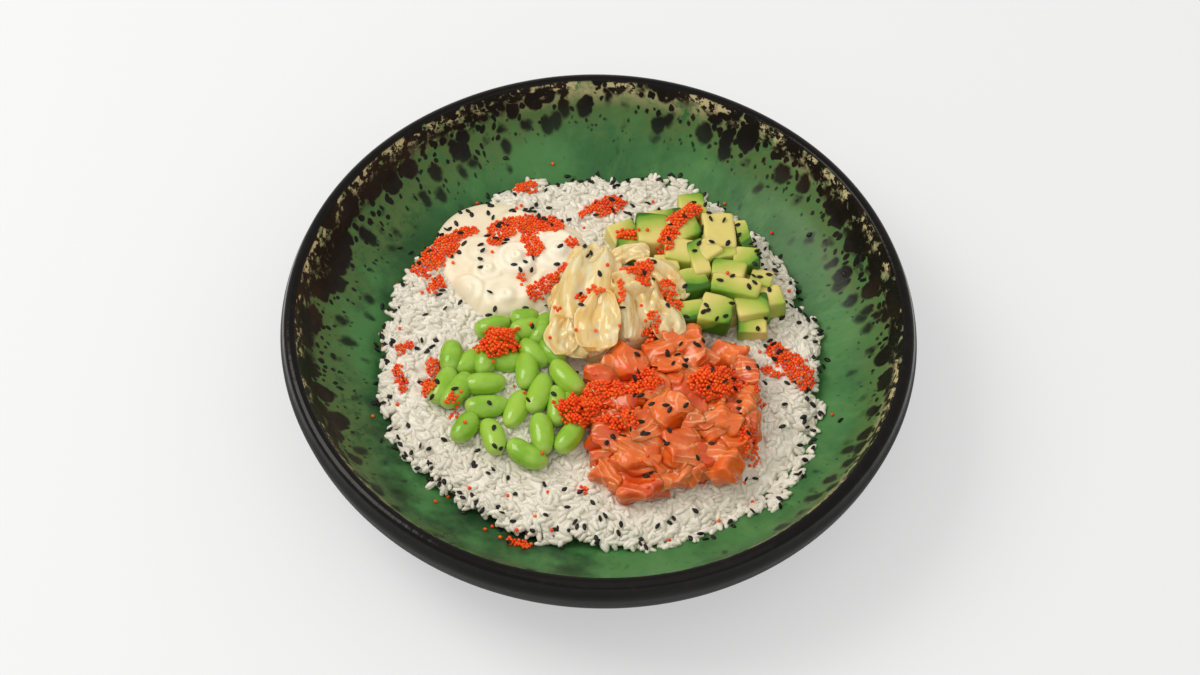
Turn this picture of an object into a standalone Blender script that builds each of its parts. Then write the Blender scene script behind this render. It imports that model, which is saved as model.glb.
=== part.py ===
"""Salmon rice bowl: a low stoneware bowl, a bed of rice and five heaps of topping.

The origin is on the table, under the middle of the foot ring. +Z is up and +Y is away from
the person eating. Sizes and places are in millimetres until a mesh is made from them.
"""
import math
import random

import bmesh
import bpy
from mathutils import Euler, Matrix, Vector
from mathutils.bvhtree import BVHTree

MM = 0.001

# Driving dimensions of the bowl
BOWL_RADIUS = 125.0
BOWL_HEIGHT = 52.0
LIP_INSET = 5.0
FLOOR_TOP = 16.5
FLOOR_UNDERSIDE = 8.5
FOOT_RADIUS = 74.0
FOOT_WIDTH = 6.0
BOWL_STEPS = 44

# Driving dimensions of the food
RICE_RADIUS = 90.0
RICE_TOP = 27.5
RICE_EDGE_TOP = 24.3
GAP = 0.3
WELD = 0.001
TOPPING_BASE = RICE_TOP + GAP
GRAIN_LENGTH = 6.0
GRAIN_WIDTH = 2.5
SEED_LENGTH = 3.2
SEED_WIDTH = 2.0
SEED_THICKNESS = 1.4
ROE_LUMP = 2.8
BEAN_WIDTH = 9.6
GINGER_THICKNESS = 1.5

# A border is a straight line between two heaps, from one point to the next, in plan.
# The first heap lies on its left and the second on its right.
BORDERS = (
    ("cream_cheese", "edamame", (-60, 5), (-24, 15.5)),
    ("cream_cheese", "pickled_ginger", (-24, 12), (0, 42)),
    ("cream_cheese", "avocado", (1, 40), (3, 62)),
    ("edamame", "pickled_ginger", (-10, -18), (-20, 14)),
    ("pickled_ginger", "salmon", (-10, -18), (36, 12)),
    ("pickled_ginger", "avocado", (33, 8), (12, 46)),
    ("avocado", "salmon", (28, 5), (72, 6)),
    ("edamame", "salmon", (-3, -62), (-5.5, -18)),
)

for leftover in list(bpy.data.objects):
    bpy.data.objects.remove(leftover)

food_bowl = bpy.data.collections.new("salmon_rice_bowl")
bpy.context.scene.collection.children.link(food_bowl)
fitting = bpy.data.collections.new("pieces_to_fuse")
bpy.context.scene.collection.children.link(fitting)
cores = bpy.data.collections.new("cores")
bpy.context.scene.collection.children.link(cores)


def finish(name, color, roughness):
    """Return a material with one colour and roughness."""
    material = bpy.data.materials.new(name)
    material.use_nodes = True
    shader = material.node_tree.nodes["Principled BSDF"]
    shader.inputs["Base Color"].default_value = (*color, 1.0)
    shader.inputs["Roughness"].default_value = roughness
    return material


def add_object(name, mesh, collection, material=None):
    """Put a mesh in a collection as a named object."""
    made = bpy.data.objects.new(name, mesh)
    collection.objects.link(made)
    if material:
        mesh.materials.clear()
        mesh.materials.append(material)
    return made


def evaluated_mesh(made):
    """Return a copy of an object's mesh with its modifiers applied."""
    graph = bpy.context.evaluated_depsgraph_get()
    return bpy.data.meshes.new_from_object(made.evaluated_get(graph))


def smooth_line(stations, steps):
    """Return points on a smooth curve through the stations, a few to each stretch."""
    ends = [stations[0]] + list(stations) + [stations[-1]]
    line = []
    for before, start, stop, after in zip(ends, ends[1:], ends[2:], ends[3:]):
        for step in range(steps):
            t = step / steps
            line.append(tuple(
                0.5 * (2 * b + (c - a) * t + (2 * a - 5 * b + 4 * c - d) * t ** 2
                       + (3 * b - a - 3 * c + d) * t ** 3)
                for a, b, c, d in zip(before, start, stop, after)))
    line.append(tuple(stations[-1]))
    return line


def wall_line():
    """Return the inside of the bowl, from the middle of its floor to the lip."""
    stations = (
        (0, FLOOR_TOP), (72, FLOOR_TOP + 1.5), (99.5, 27.5), (112, 37.5),
        (BOWL_RADIUS - LIP_INSET - 1.5, BOWL_HEIGHT - 2))
    return smooth_line(stations, 2)


def outer_line():
    """Return the outside of the bowl, from the lip down to the foot ring and its middle."""
    stations = (
        (BOWL_RADIUS - LIP_INSET, BOWL_HEIGHT), (BOWL_RADIUS - 1.5, BOWL_HEIGHT - 2.5),
        (BOWL_RADIUS, BOWL_HEIGHT - 9), (BOWL_RADIUS - 6, BOWL_HEIGHT - 22),
        (BOWL_RADIUS - 31, 14), (FOOT_RADIUS, 5))
    foot = (
        (FOOT_RADIUS - 0.5, 0), (FOOT_RADIUS - FOOT_WIDTH, 0),
        (FOOT_RADIUS - FOOT_WIDTH - 1.5, FLOOR_UNDERSIDE - 1), (0, FLOOR_UNDERSIDE))
    return smooth_line(stations, 2) + list(foot)


def turned(name, line, material):
    """Turn a line of radius and height into a solid round the Z axis."""
    mesh = bpy.data.meshes.new(name)
    points = [(radius * MM, 0, height * MM) for radius, height in line]
    edges = [(i, i + 1) for i in range(len(points) - 1)]
    mesh.from_pydata(points, edges, [])
    made = add_object(name, mesh, food_bowl, material)
    turn = made.modifiers.new("turn", "SCREW")
    turn.steps = BOWL_STEPS
    turn.render_steps = BOWL_STEPS
    turn.use_merge_vertices = True
    turn.merge_threshold = 0.00005
    turn.use_smooth_shade = True
    return made


def sides(heap):
    """List a heap's borders as a point on each and the way out of the heap."""
    found = []
    for left, right, start, stop in BORDERS:
        if heap in (left, right):
            along = Vector((stop[0] - start[0], stop[1] - start[1], 0)).normalized()
            rightward = Vector((along.y, -along.x, 0))
            outward = rightward if heap == left else -rightward
            found.append((Vector((*start, 0)) - outward * GAP / 2, outward))
    return found


def cut_off(work, point, outward):
    """Remove what lies beyond a plane, and close the cut."""
    geometry = work.verts[:] + work.edges[:] + work.faces[:]
    bmesh.ops.bisect_plane(
        work, geom=geometry, plane_co=point, plane_no=outward, clear_outer=True)
    open_edges = [edge for edge in work.edges if edge.is_boundary]
    if open_edges:
        bmesh.ops.holes_fill(work, edges=open_edges)


def piece_from(work, heap, turn=None, place=(0, 0, 0), home=fitting):
    """Place a shape in millimetres, keep it inside its heap, and store it for fusing."""
    matrix = Matrix.Translation(place)
    if turn:
        matrix = matrix @ Euler(turn).to_matrix().to_4x4()
    bmesh.ops.transform(work, matrix=matrix, verts=work.verts)
    if heap != "rice":
        cut_off(work, Vector((0, 0, TOPPING_BASE)), Vector((0, 0, -1)))
        for point, outward in sides(heap):
            cut_off(work, point, outward)
    bmesh.ops.triangulate(work, faces=work.faces)
    bmesh.ops.recalc_face_normals(work, faces=work.faces)
    bmesh.ops.scale(work, vec=(MM, MM, MM), verts=work.verts)
    if not work.faces:
        work.free()
        return None
    mesh = bpy.data.meshes.new(heap)
    work.to_mesh(mesh)
    work.free()
    return add_object(heap + "_piece", mesh, home)


def domed_patch(centre, outline, height, rings, steps):
    """Return a closed mound: a flat base, and a top whose height is a rule of place."""
    work = bmesh.new()
    base_z = TOPPING_BASE
    middle = work.verts.new((*centre, height(*centre)))
    under = work.verts.new((*centre, base_z))
    circles = []
    for ring in range(1, rings + 1):
        circle = []
        for step in range(steps):
            angle = math.tau * step / steps
            reach = outline(angle) * ring / rings
            x = centre[0] + reach * math.cos(angle)
            y = centre[1] + reach * math.sin(angle)
            circle.append(work.verts.new((x, y, height(x, y) if ring < rings else base_z + 1.2)))
        circles.append(circle)
    circles.append([work.verts.new((vert.co.x, vert.co.y, base_z)) for vert in circles[-1]])
    for step in range(steps):
        after = (step + 1) % steps
        work.faces.new((middle, circles[0][step], circles[0][after]))
        work.faces.new((under, circles[-1][after], circles[-1][step]))
        for inner, outer in zip(circles, circles[1:]):
            work.faces.new((inner[step], outer[step], outer[after], inner[after]))
    return work


def oval_outline(width, depth, wobble=0.0, waves=5):
    """Return a rule for the radius of an uneven oval at each angle."""
    def radius(angle):
        plain = width * depth / math.hypot(depth * math.cos(angle), width * math.sin(angle))
        return plain * (1 + wobble * math.sin(waves * angle + 0.7))
    return radius


def mound(centre, width, depth, height):
    """Return a rule for the height of a rounded mound over the rice."""
    def level(x, y):
        away = math.hypot((x - centre[0]) / width, (y - centre[1]) / depth)
        return TOPPING_BASE + 1.2 + height * max(0.0, 1 - away ** 3)
    return level


def cut_block(size, draw, uneven):
    """Return a cut block of food with uneven corners."""
    work = bmesh.new()
    bmesh.ops.create_cube(work, size=1.0)
    for vert in work.verts:
        shift = [1 + uneven * draw.uniform(-1, 1) for _ in range(3)]
        vert.co = Vector((vert.co[i] * size[i] * shift[i] for i in range(3)))
    return work


def bean_shape(length, width):
    """Return a soya bean: an oval with one side drawn in."""
    work = bmesh.new()
    bmesh.ops.create_uvsphere(work, u_segments=6, v_segments=5, radius=0.5)
    for vert in work.verts:
        along = vert.co.z
        vert.co = Vector((along * length, vert.co.y * width, vert.co.x * width * 0.92))
        vert.co.y += width * 0.35 * (along ** 2 - 0.1)
    return work


def small_oval(length, width, thickness, around, along):
    """Return a grain, a seed or an egg with few sides."""
    work = bmesh.new()
    bmesh.ops.create_uvsphere(work, u_segments=around, v_segments=along, radius=0.5)
    for vert in work.verts:
        vert.co = Vector((vert.co.z * length, vert.co.x * width, vert.co.y * thickness))
    return work


def slice_sheet(stations, across, curl, ripple):
    """Return a thin slice: a place and a width at each station, and sides that curl down or up."""
    line = smooth_line(stations, 1)
    places = [Vector(station[:3]) for station in line]
    work = bmesh.new()
    rows = []
    for index, point in enumerate(places):
        t = index / (len(line) - 1)
        ahead = places[min(index + 1, len(line) - 1)] - places[max(index - 1, 0)]
        side = ahead.cross(Vector((0, 0, 1))).normalized()
        half = line[index][3] / 2
        row = []
        for step in range(across + 1):
            s = 2 * step / across - 1
            drop = curl * s * s + ripple * math.sin(2 * math.pi * s + 4 * t)
            row.append(work.verts.new(point + side * half * s - Vector((0, 0, drop))))
        rows.append(row)
    for near, far in zip(rows, rows[1:]):
        for step in range(across):
            work.faces.new((near[step], near[step + 1], far[step + 1]))
            work.faces.new((near[step], far[step + 1], far[step]))
    return thickened(work, GINGER_THICKNESS)


def thickened(work, thickness):
    """Give an open sheet its thickness, and return it as a closed shape."""
    mesh = bpy.data.meshes.new("sheet")
    work.to_mesh(mesh)
    work.free()
    sheet = add_object("sheet", mesh, fitting)
    shell = sheet.modifiers.new("shell", "SOLIDIFY")
    shell.thickness = thickness
    shell.offset = 0.0
    closed = bmesh.new()
    closed.from_mesh(evaluated_mesh(sheet))
    bpy.data.objects.remove(sheet)
    return closed


def tree_of(made):
    """Return a search tree of an object's evaluated surface."""
    return BVHTree.FromObject(made, bpy.context.evaluated_depsgraph_get())


def is_clear(piece, others):
    """Say whether a small piece keeps the gap to every one of the other surfaces."""
    own = tree_of(piece)
    for other in others:
        if own.overlap(other):
            return False
        for vert in piece.data.vertices:
            if other.find_nearest(vert.co, GAP * MM)[0] is not None:
                return False
    return True


def keep_if_clear(piece, others):
    """Remove a small piece that would touch what its heap only lies beside."""
    if piece and not is_clear(piece, others):
        bpy.data.objects.remove(piece)


def height_at(ground, x, y):
    """Return the highest surface straight under a place, or None where there is none."""
    hits = [tree.ray_cast(Vector((x * MM, y * MM, 0.08)), Vector((0, 0, -1)))[0] for tree in ground]
    levels = [hit.z / MM for hit in hits if hit]
    return max(levels) if levels else None


def lay_seeds(heap, ground, places, draw, others=()):
    """Lay sesame seeds flat on a heap at the given places."""
    for x, y in places:
        level = height_at(ground, x, y)
        if level is None:
            continue
        seed = small_oval(SEED_LENGTH, SEED_WIDTH, SEED_THICKNESS, 4, 3)
        turn = (0, 0, draw.uniform(0, math.pi))
        keep_if_clear(piece_from(seed, heap, turn, (x, y, level + 0.2)), others)


def spoon_roe(heap, ground, patches, draw, others=()):
    """Spoon roe on a heap: each patch is a run of lumps from one place to the next."""
    for start, stop, spread, count in patches:
        for index in range(count):
            t = (index + 0.5) / count
            away = spread * math.sqrt(draw.random())
            angle = draw.uniform(0, math.tau)
            x = start[0] + (stop[0] - start[0]) * t + away * math.cos(angle)
            y = start[1] + (stop[1] - start[1]) * t + away * math.sin(angle)
            level = height_at(ground, x, y)
            if level is None:
                continue
            lump = bmesh.new()
            bmesh.ops.create_icosphere(lump, subdivisions=1, radius=ROE_LUMP)
            bmesh.ops.scale(lump, vec=(1.0, 1.0, 0.6), verts=lump.verts)
            turn = (0, 0, draw.uniform(0, math.tau))
            keep_if_clear(piece_from(lump, heap, turn, (x, y, level + 0.3)), others)


def ring_places(centre, count, inner, outer, draw):
    """Spread places evenly over a ring, each a little off its mark."""
    golden = math.pi * (3 - math.sqrt(5))
    for index in range(count):
        share = (index + 0.5) / count
        radius = math.sqrt(inner ** 2 + (outer ** 2 - inner ** 2) * share)
        angle = index * golden
        yield (centre[0] + radius * math.cos(angle) + draw.uniform(-1.5, 1.5),
               centre[1] + radius * math.sin(angle) + draw.uniform(-1.5, 1.5))


def largest_body(mesh):
    """Keep the largest closed body of a fused mesh, so that hollows and scraps go."""
    work = bmesh.new()
    work.from_mesh(mesh)
    bmesh.ops.triangulate(work, faces=work.faces)
    bmesh.ops.remove_doubles(work, verts=work.verts, dist=WELD * MM)
    waiting = set(work.faces)
    bodies = []
    while waiting:
        body = [waiting.pop()]
        for face in body:
            for edge in face.edges:
                for near in edge.link_faces:
                    if near in waiting:
                        waiting.remove(near)
                        body.append(near)
        bodies.append(body)
    bodies.sort(key=len)
    scraps = [face for body in bodies[:-1] for face in body]
    bmesh.ops.delete(work, geom=scraps, context="FACES")
    bmesh.ops.recalc_face_normals(work, faces=work.faces)
    work.to_mesh(mesh)
    work.free()
    return mesh


def fuse(name, core, material, solver="EXACT"):
    """Join a core and all the waiting pieces into one closed solid."""
    join = core.modifiers.new("join", "BOOLEAN")
    join.operation = "UNION"
    join.operand_type = "COLLECTION"
    join.collection = fitting
    join.solver = solver
    mesh = largest_body(evaluated_mesh(core))
    for piece in list(fitting.objects) + [core]:
        bpy.data.objects.remove(piece)
    mesh.name = name
    return add_object(name, mesh, food_bowl, material)


def make_edamame():
    """Heap the soya beans: place, turn and length of each, over a low bed."""
    beans = (
        (-58, -11, 90, 33, 15), (-51.5, -13.5, 45, 32, 12), (-45, -13, 100, 33.5, 13),
        (-60, -25, 70, 32.5, 17), (-54.5, -27.5, 60, 33.5, 18), (-44, -24, 8, 34, 17),
        (-42.5, -34, 10, 33, 17.5), (-50.5, -44, 60, 32.5, 14), (-39.5, -47.5, 110, 32.5, 17),
        (-31, -34.5, 75, 32.5, 18), (-22.5, -27.5, 76, 34, 19), (-15, -32.5, 95, 33, 17.5),
        (-20.5, -46, 100, 33.5, 18), (-26, -55, -30, 32.5, 18), (-9.8, -46.5, 60, 33, 16),
        (-12, -20.5, -50, 35.5, 19), (-28, -17, 92, 34, 17), (-25.5, -8.5, -40, 34, 15),
        (-18.5, -7.5, -50, 34, 13), (-29, 2.5, 20, 34.5, 13), (-30, 8.5, 10, 33, 12),
        (-22.5, 3, 70, 34, 16), (-42.5, 4, 20, 33, 15), (-36.5, -12, 0, 32.5, 15),
        (-37, -2.5, 30, 33, 14), (-10.5, -30.5, 90, 32, 14))
    for x, y, turn, z, length in beans:
        piece_from(bean_shape(length, BEAN_WIDTH), "edamame", (0, 0, math.radians(turn)), (x, y, z))
    centre = (-34, -22)
    bed = domed_patch(
        centre, oval_outline(25, 32, 0.05), mound(centre, 27, 34, 2.5), rings=2, steps=16)
    core = piece_from(bed, "edamame", home=cores)
    ground = [tree_of(made) for made in list(fitting.objects) + [core]]
    draw = random.Random(21)
    spoon_roe("edamame", ground, (((-43, -8), (-38, -8), 4, 5),), draw)
    lay_seeds("edamame", ground, ring_places(centre, 3, 5, 24, draw), draw)
    return fuse("edamame", core, BEAN_GREEN)


def make_salmon():
    """Heap the diced salmon: place, size and turn of each dice on a mound."""
    dice = (
        (11, -13.5, 18, 14, 11, -20), (34, -2, 14, 14, 11, 15), (52, -4.5, 14, 12, 11, -25),
        (38, -12.5, 11, 9, 9, 30), (57.5, -15.5, 9, 13, 11, 0), (28, -17, 13, 7, 9, 5),
        (1.5, -19, 12, 8, 10, 10), (46, -24, 14, 13, 9, 20), (29, -36, 15, 13, 10, 35),
        (39, -41, 9, 9, 9, 0), (49, -39, 13, 11, 10, -30), (18, -45, 15, 14, 10, 25),
        (4, -47, 12, 12, 12, -10), (17.5, -56, 17, 13, 11, -5), (33, -54, 14, 14, 11, 10),
        (18.5, -67, 18, 11, 9, 12), (6, -60.5, 13, 12, 9, -25), (33, -62.5, 13, 9, 8, 15),
        (48.5, -57, 16, 13, 10, -15), (54, -46.5, 11, 11, 9, 20), (58, -30, 10, 13, 10, 0),
        (10, -34.5, 14, 12, 10, -30), (1, -31, 13, 13, 10, 15), (21, -27, 14, 12, 9, -10))
    centre = (30, -33)
    level = mound(centre, 34, 37, 7.6)
    draw = random.Random(11)
    for x, y, length, width, height, turn in dice:
        tilt = (draw.uniform(-0.35, 0.35), draw.uniform(-0.35, 0.35), math.radians(turn))
        block = cut_block((length, width, height), draw, 0.2)
        piece_from(block, "salmon", tilt, (x, y, level(x, y) + height * 0.25))
    bed = domed_patch(centre, oval_outline(28, 31, 0.04), level, rings=2, steps=16)
    core = piece_from(bed, "salmon", home=cores)
    ground = [tree_of(made) for made in list(fitting.objects) + [core]]
    patches = (((1, -38), (6, -31), 3.5, 4), ((9, -31), (22, -29), 2.5, 4), ((43, -27), (49, -25), 4, 5))
    spoon_roe("salmon", ground, patches, draw)
    lay_seeds("salmon", ground, ring_places(centre, 8, 6, 30, draw), draw)
    return fuse("salmon", core, SALMON_ORANGE)


def make_avocado():
    """Heap the diced avocado: place, size and turn of each dice on a mound."""
    dice = (
        (24.5, 59.5, 17, 6, 10, 15), (20, 51, 13, 17, 11, 5), (8, 53, 12, 10, 9, 25),
        (12, 45, 13, 9, 9, -10), (31, 40, 12, 11, 10, -5), (36, 66, 11, 11, 10, 10),
        (46.5, 50.5, 13, 18, 11, 5), (57, 51, 5, 14, 9, 15), (43, 41, 9, 9, 11, 40),
        (38.5, 37, 7, 16, 10, 15), (58.5, 38.5, 11, 9, 10, -5), (51, 32.5, 14, 8, 9, -10),
        (54, 24.5, 20, 8, 9, -10), (46, 13, 13, 14, 9, -10), (61, 16.5, 13, 11, 9, 10),
        (68, 21.5, 11, 10, 9, 15), (61, 10.5, 12, 10, 7, 0), (34.5, 12, 15, 9, 9, 5),
        (37, 26, 11, 11, 9, 20), (33, 53, 12, 12, 11, 30), (26, 34, 10, 9, 9, 10),
        (30, 22, 11, 9, 9, 40), (64, 30, 9, 8, 8, -15), (49, 42, 10, 9, 9, 15))
    centre = (42, 36)
    level = mound(centre, 34, 36, 6)
    draw = random.Random(5)
    for x, y, length, width, height, turn in dice:
        tilt = (draw.uniform(-0.12, 0.12), draw.uniform(-0.12, 0.12), math.radians(turn))
        block = cut_block((length, width, height), draw, 0.06)
        piece_from(block, "avocado", tilt, (x, y, level(x, y) + height * 0.25))
    bed = domed_patch(centre, oval_outline(25, 29, 0.05), level, rings=2, steps=16)
    core = piece_from(bed, "avocado", home=cores)
    ground = [tree_of(made) for made in list(fitting.objects) + [core]]
    spoon_roe("avocado", ground, (((34, 60), (25, 41), 2, 6),), draw)
    lay_seeds("avocado", ground, ring_places(centre, 7, 4, 28, draw), draw)
    return fuse("avocado", core, AVOCADO_GREEN)


def make_ginger():
    """Fold the slices of pickled ginger over a soft core."""
    slices = (
        (((0, 39, 42, 9), (-2, 29, 45.5, 14), (-5.5, 17.5, 45, 20), (-6.5, 7, 43, 22),
          (-5.5, -3, 40.5, 20), (-4, -11, 37.5, 12)), 4.0, 0.3),
        (((1, 15, 44.8, 8), (-0.5, 4, 44.3, 15), (-1, -4.5, 43, 17), (0, -11, 40.8, 12)), -2.2, 0.2),
        (((8.4, 26, 45.5, 8), (8.7, 14, 46.5, 9), (10.3, 4, 44.5, 9.5), (11, -4, 40.5, 8)), 4.5, 0.0),
        (((-9, 21, 41.5, 10), (-15.5, 14.5, 39.5, 13), (-19.5, 12, 36, 9)), 2.0, 0.3),
        (((13.5, 31, 43.5, 9), (22.4, 27.8, 44.5, 13), (29, 21.5, 43, 12), (32, 16.5, 40, 8)), 2.0, 0.9),
        (((17.7, 23, 45.5, 9), (19.6, 12, 44.8, 12), (20.5, 3.5, 40.5, 11)), 4.0, 0.7),
        (((3.5, 34, 42, 7), (12, 37.5, 43.5, 8), (19, 37.5, 41.5, 7)), 1.5, 0.3))
    for stations, curl, ripple in slices:
        piece_from(slice_sheet(stations, 3, curl, ripple), "pickled_ginger")
    centre = (6, 13)
    bed = domed_patch(
        centre, oval_outline(19, 25, 0.04), mound(centre, 21, 27, 13), rings=2, steps=14)
    core = piece_from(bed, "pickled_ginger", home=cores)
    ground = [tree_of(made) for made in list(fitting.objects) + [core]]
    patches = (
        ((13, 26), (17, 26), 2, 2), ((-7.5, 12), (-7, 13), 1, 1), ((20, 0), (20, 4), 1, 1))
    draw = random.Random(17)
    spoon_roe("pickled_ginger", ground, patches, draw)
    return fuse("pickled_ginger", core, GINGER_CREAM)


def make_cream():
    """Pipe the cream cheese: soft rounded dollops that run together in one sheet."""
    dollops = (
        (-54, 22, 9, 4.5), (-35, 38.5, 10, 5.5), (-18, 43, 13, 5.5), (-58, 12, 7, 2.5),
        (-38, 20, 12, 4.0), (-34, 55, 12, 3.5), (-50, 42, 10, 3.0), (-20, 28, 9, 4.0),
        (-46, 33, 8, 4.0), (-26, 50, 8, 4.2))

    def level(x, y):
        rise = 0.0
        for at_x, at_y, reach, height in dollops:
            away = math.hypot(x - at_x, y - at_y) / reach
            rise = max(rise, height * math.exp(-away ** 4))
        return TOPPING_BASE + 3.5 + rise

    def outline(angle):
        return 33 + 4 * math.cos(2 * (angle + 0.75)) + 1.5 * math.sin(3 * angle)

    centre = (-34, 38)
    body = domed_patch(centre, outline, level, rings=6, steps=24)
    core = piece_from(body, "cream_cheese", home=cores)
    ground = [tree_of(core)]
    patches = (
        ((-42, 54), (-22, 57), 2, 5), ((-31, 51), (-28.5, 40), 1.5, 3), ((-25, 23), (-17, 29), 2, 3))
    draw = random.Random(8)
    spoon_roe("cream_cheese", ground, patches, draw)
    lay_seeds("cream_cheese", ground, ring_places(centre, 6, 6, 28, draw), draw)
    return fuse("cream_cheese", core, CREAM_WHITE)


def rice_height(radius):
    """Return the level of the rice at a distance from the middle."""
    shoulder = 77.0
    if radius <= shoulder:
        return RICE_TOP
    fall = (radius - shoulder) / (RICE_RADIUS - shoulder)
    return RICE_TOP - (RICE_TOP - RICE_EDGE_TOP) * fall ** 2


def rice_bed(draw):
    """Return the bed of rice, from the bowl's inside wall up to its uneven top."""
    work = bmesh.new()
    rings = (0, 52, 65, 74, 81, 87, RICE_RADIUS)
    wall = [point for point in wall_line() if point[0] < RICE_RADIUS]
    levels = [(radius, rice_height(radius), True) for radius in rings]
    levels.append((RICE_RADIUS + 0.2, RICE_EDGE_TOP - 0.2, False))
    for radius, height in reversed(wall):
        levels.append((radius, height + GAP, False))
    circles = []
    for radius, height, loose in levels:
        if radius == 0:
            circles.append([work.verts.new((0, 0, height))])
            continue
        circle = []
        for step in range(BOWL_STEPS):
            angle = math.tau * step / BOWL_STEPS
            dip = draw.uniform(0, 1.3) if 50 < radius < 86 and loose else 0.0
            shift = draw.uniform(-0.8, 0.8) if 50 < radius < 86 and loose else 0.0
            x = (radius + shift) * math.cos(angle)
            y = (radius + shift) * math.sin(angle)
            circle.append(work.verts.new((x, y, height - dip)))
        circles.append(circle)
    for upper, lower in zip(circles, circles[1:]):
        for step in range(BOWL_STEPS):
            after = (step + 1) % BOWL_STEPS
            if len(upper) == 1:
                work.faces.new((upper[0], lower[step], lower[after]))
            elif len(lower) == 1:
                work.faces.new((upper[step], lower[0], upper[after]))
            else:
                work.faces.new((upper[step], lower[step], lower[after], upper[after]))
    return work


def make_rice(others):
    """Fuse grains, seeds and spilt roe to the bed of rice where nothing else lies."""
    draw = random.Random(3)
    bed = piece_from(rice_bed(draw), "rice", home=cores)
    ground = [tree_of(bed)]
    middle = (0, 0)
    for x, y in ring_places(middle, 44, 58, RICE_RADIUS - 1, draw):
        level = height_at(ground, x, y)
        if level is None:
            continue
        grain = small_oval(GRAIN_LENGTH, GRAIN_WIDTH, GRAIN_WIDTH, 4, 3)
        turn = (0, draw.uniform(-0.35, 0.35), draw.uniform(0, math.pi))
        keep_if_clear(piece_from(grain, "rice", turn, (x, y, level + 0.4)), others)
    patches = (
        ((-70, 38), (-66, 44), 2, 4), ((-35, 79), (-32, 79), 1.5, 2), ((-1, 69), (3, 72), 1.5, 2),
        ((71, 0), (80, -11), 2, 5), ((64, -42), (65, -44), 1, 1), ((-68, -12), (-69, -22), 1, 2))
    spoon_roe("rice", ground, patches, draw, others)
    lay_seeds("rice", ground, ring_places(middle, 16, 64, RICE_RADIUS - 3, draw), draw, others)
    return fuse("rice", bed, RICE_WHITE)


GLAZE_GREEN = finish("green_glaze", (0.05, 0.16, 0.07), 0.25)
BEAN_GREEN = finish("soya_bean", (0.30, 0.55, 0.05), 0.35)
SALMON_ORANGE = finish("raw_salmon", (0.90, 0.26, 0.08), 0.3)
AVOCADO_GREEN = finish("avocado_flesh", (0.72, 0.74, 0.30), 0.5)
GINGER_CREAM = finish("ginger_slice", (0.80, 0.62, 0.38), 0.35)
CREAM_WHITE = finish("cream", (0.90, 0.83, 0.68), 0.45)
RICE_WHITE = finish("cooked_rice", (0.85, 0.84, 0.80), 0.5)

bowl = turned("bowl", wall_line() + outer_line(), GLAZE_GREEN)
toppings = [make_edamame(), make_salmon(), make_avocado(), make_ginger(), make_cream()]
make_rice([tree_of(made) for made in [bowl] + toppings])
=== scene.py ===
import math
import random

import bmesh
import bpy
import numpy as np
from mathutils import Euler, Matrix, Vector, noise
from mathutils.bvhtree import BVHTree


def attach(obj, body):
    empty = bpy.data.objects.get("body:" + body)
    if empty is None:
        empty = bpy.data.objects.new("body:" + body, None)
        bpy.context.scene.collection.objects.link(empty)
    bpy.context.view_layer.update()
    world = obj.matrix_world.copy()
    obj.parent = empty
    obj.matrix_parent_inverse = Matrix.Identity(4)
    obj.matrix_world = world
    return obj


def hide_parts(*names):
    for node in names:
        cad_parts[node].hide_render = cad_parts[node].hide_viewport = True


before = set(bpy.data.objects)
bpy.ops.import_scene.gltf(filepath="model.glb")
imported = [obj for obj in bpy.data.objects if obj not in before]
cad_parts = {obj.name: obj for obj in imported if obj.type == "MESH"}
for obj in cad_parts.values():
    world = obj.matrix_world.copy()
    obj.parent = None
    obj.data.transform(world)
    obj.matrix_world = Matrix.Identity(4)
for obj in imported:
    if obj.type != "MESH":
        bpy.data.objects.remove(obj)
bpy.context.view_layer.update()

# The view and the light
# The bowl is seen from in front and well above, on a bare pale table.
# One broad soft light stands to the left and a weaker one in front, so the shadow falls to the right.
IMAGE_WIDTH = 1200
FOCAL_PIXELS = 2553.0
SENSOR_WIDTH = 36.0
CAMERA_DISTANCE = 1.0
CAMERA_ELEVATION = math.radians(55.05)
CAMERA_ROLL = math.radians(2.45)
TARGET_RIGHT = 0.1
TARGET_UP = -25.6
RIM_HEIGHT = 0.052
LIGHT_COLOUR = (1.0, 0.955, 0.87)
FLOOR_COLOUR = (0.41, 0.43, 0.47, 1)
FLOOR_GLOW = (0.43, 0.43, 0.43, 1)
FLOOR_REACH = 3.0
ROOM_GLOW = 0.68


def place_camera():
    """Stand the camera where the bowl's rim comes out as it is seen."""
    back = Vector((0, -math.cos(CAMERA_ELEVATION), math.sin(CAMERA_ELEVATION)))
    right = Vector((1, 0, 0))
    up = back.cross(right)
    tilted_right = right * math.cos(CAMERA_ROLL) + up * math.sin(CAMERA_ROLL)
    tilted_up = -right * math.sin(CAMERA_ROLL) + up * math.cos(CAMERA_ROLL)
    to_side = tilted_right * TARGET_RIGHT * CAMERA_DISTANCE / FOCAL_PIXELS
    to_top = tilted_up * TARGET_UP * CAMERA_DISTANCE / FOCAL_PIXELS
    place = back * CAMERA_DISTANCE - to_side + to_top + Vector((0, 0, RIM_HEIGHT))
    data = bpy.data.cameras.new("camera")
    data.sensor_width = SENSOR_WIDTH
    data.lens = FOCAL_PIXELS / IMAGE_WIDTH * SENSOR_WIDTH
    data.clip_start = 0.01
    camera = bpy.data.objects.new("camera", data)
    bpy.context.scene.collection.objects.link(camera)
    turn = Matrix((tilted_right, tilted_up, back)).transposed().to_4x4()
    camera.matrix_world = Matrix.Translation(place) @ turn
    bpy.context.scene.camera = camera


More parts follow.
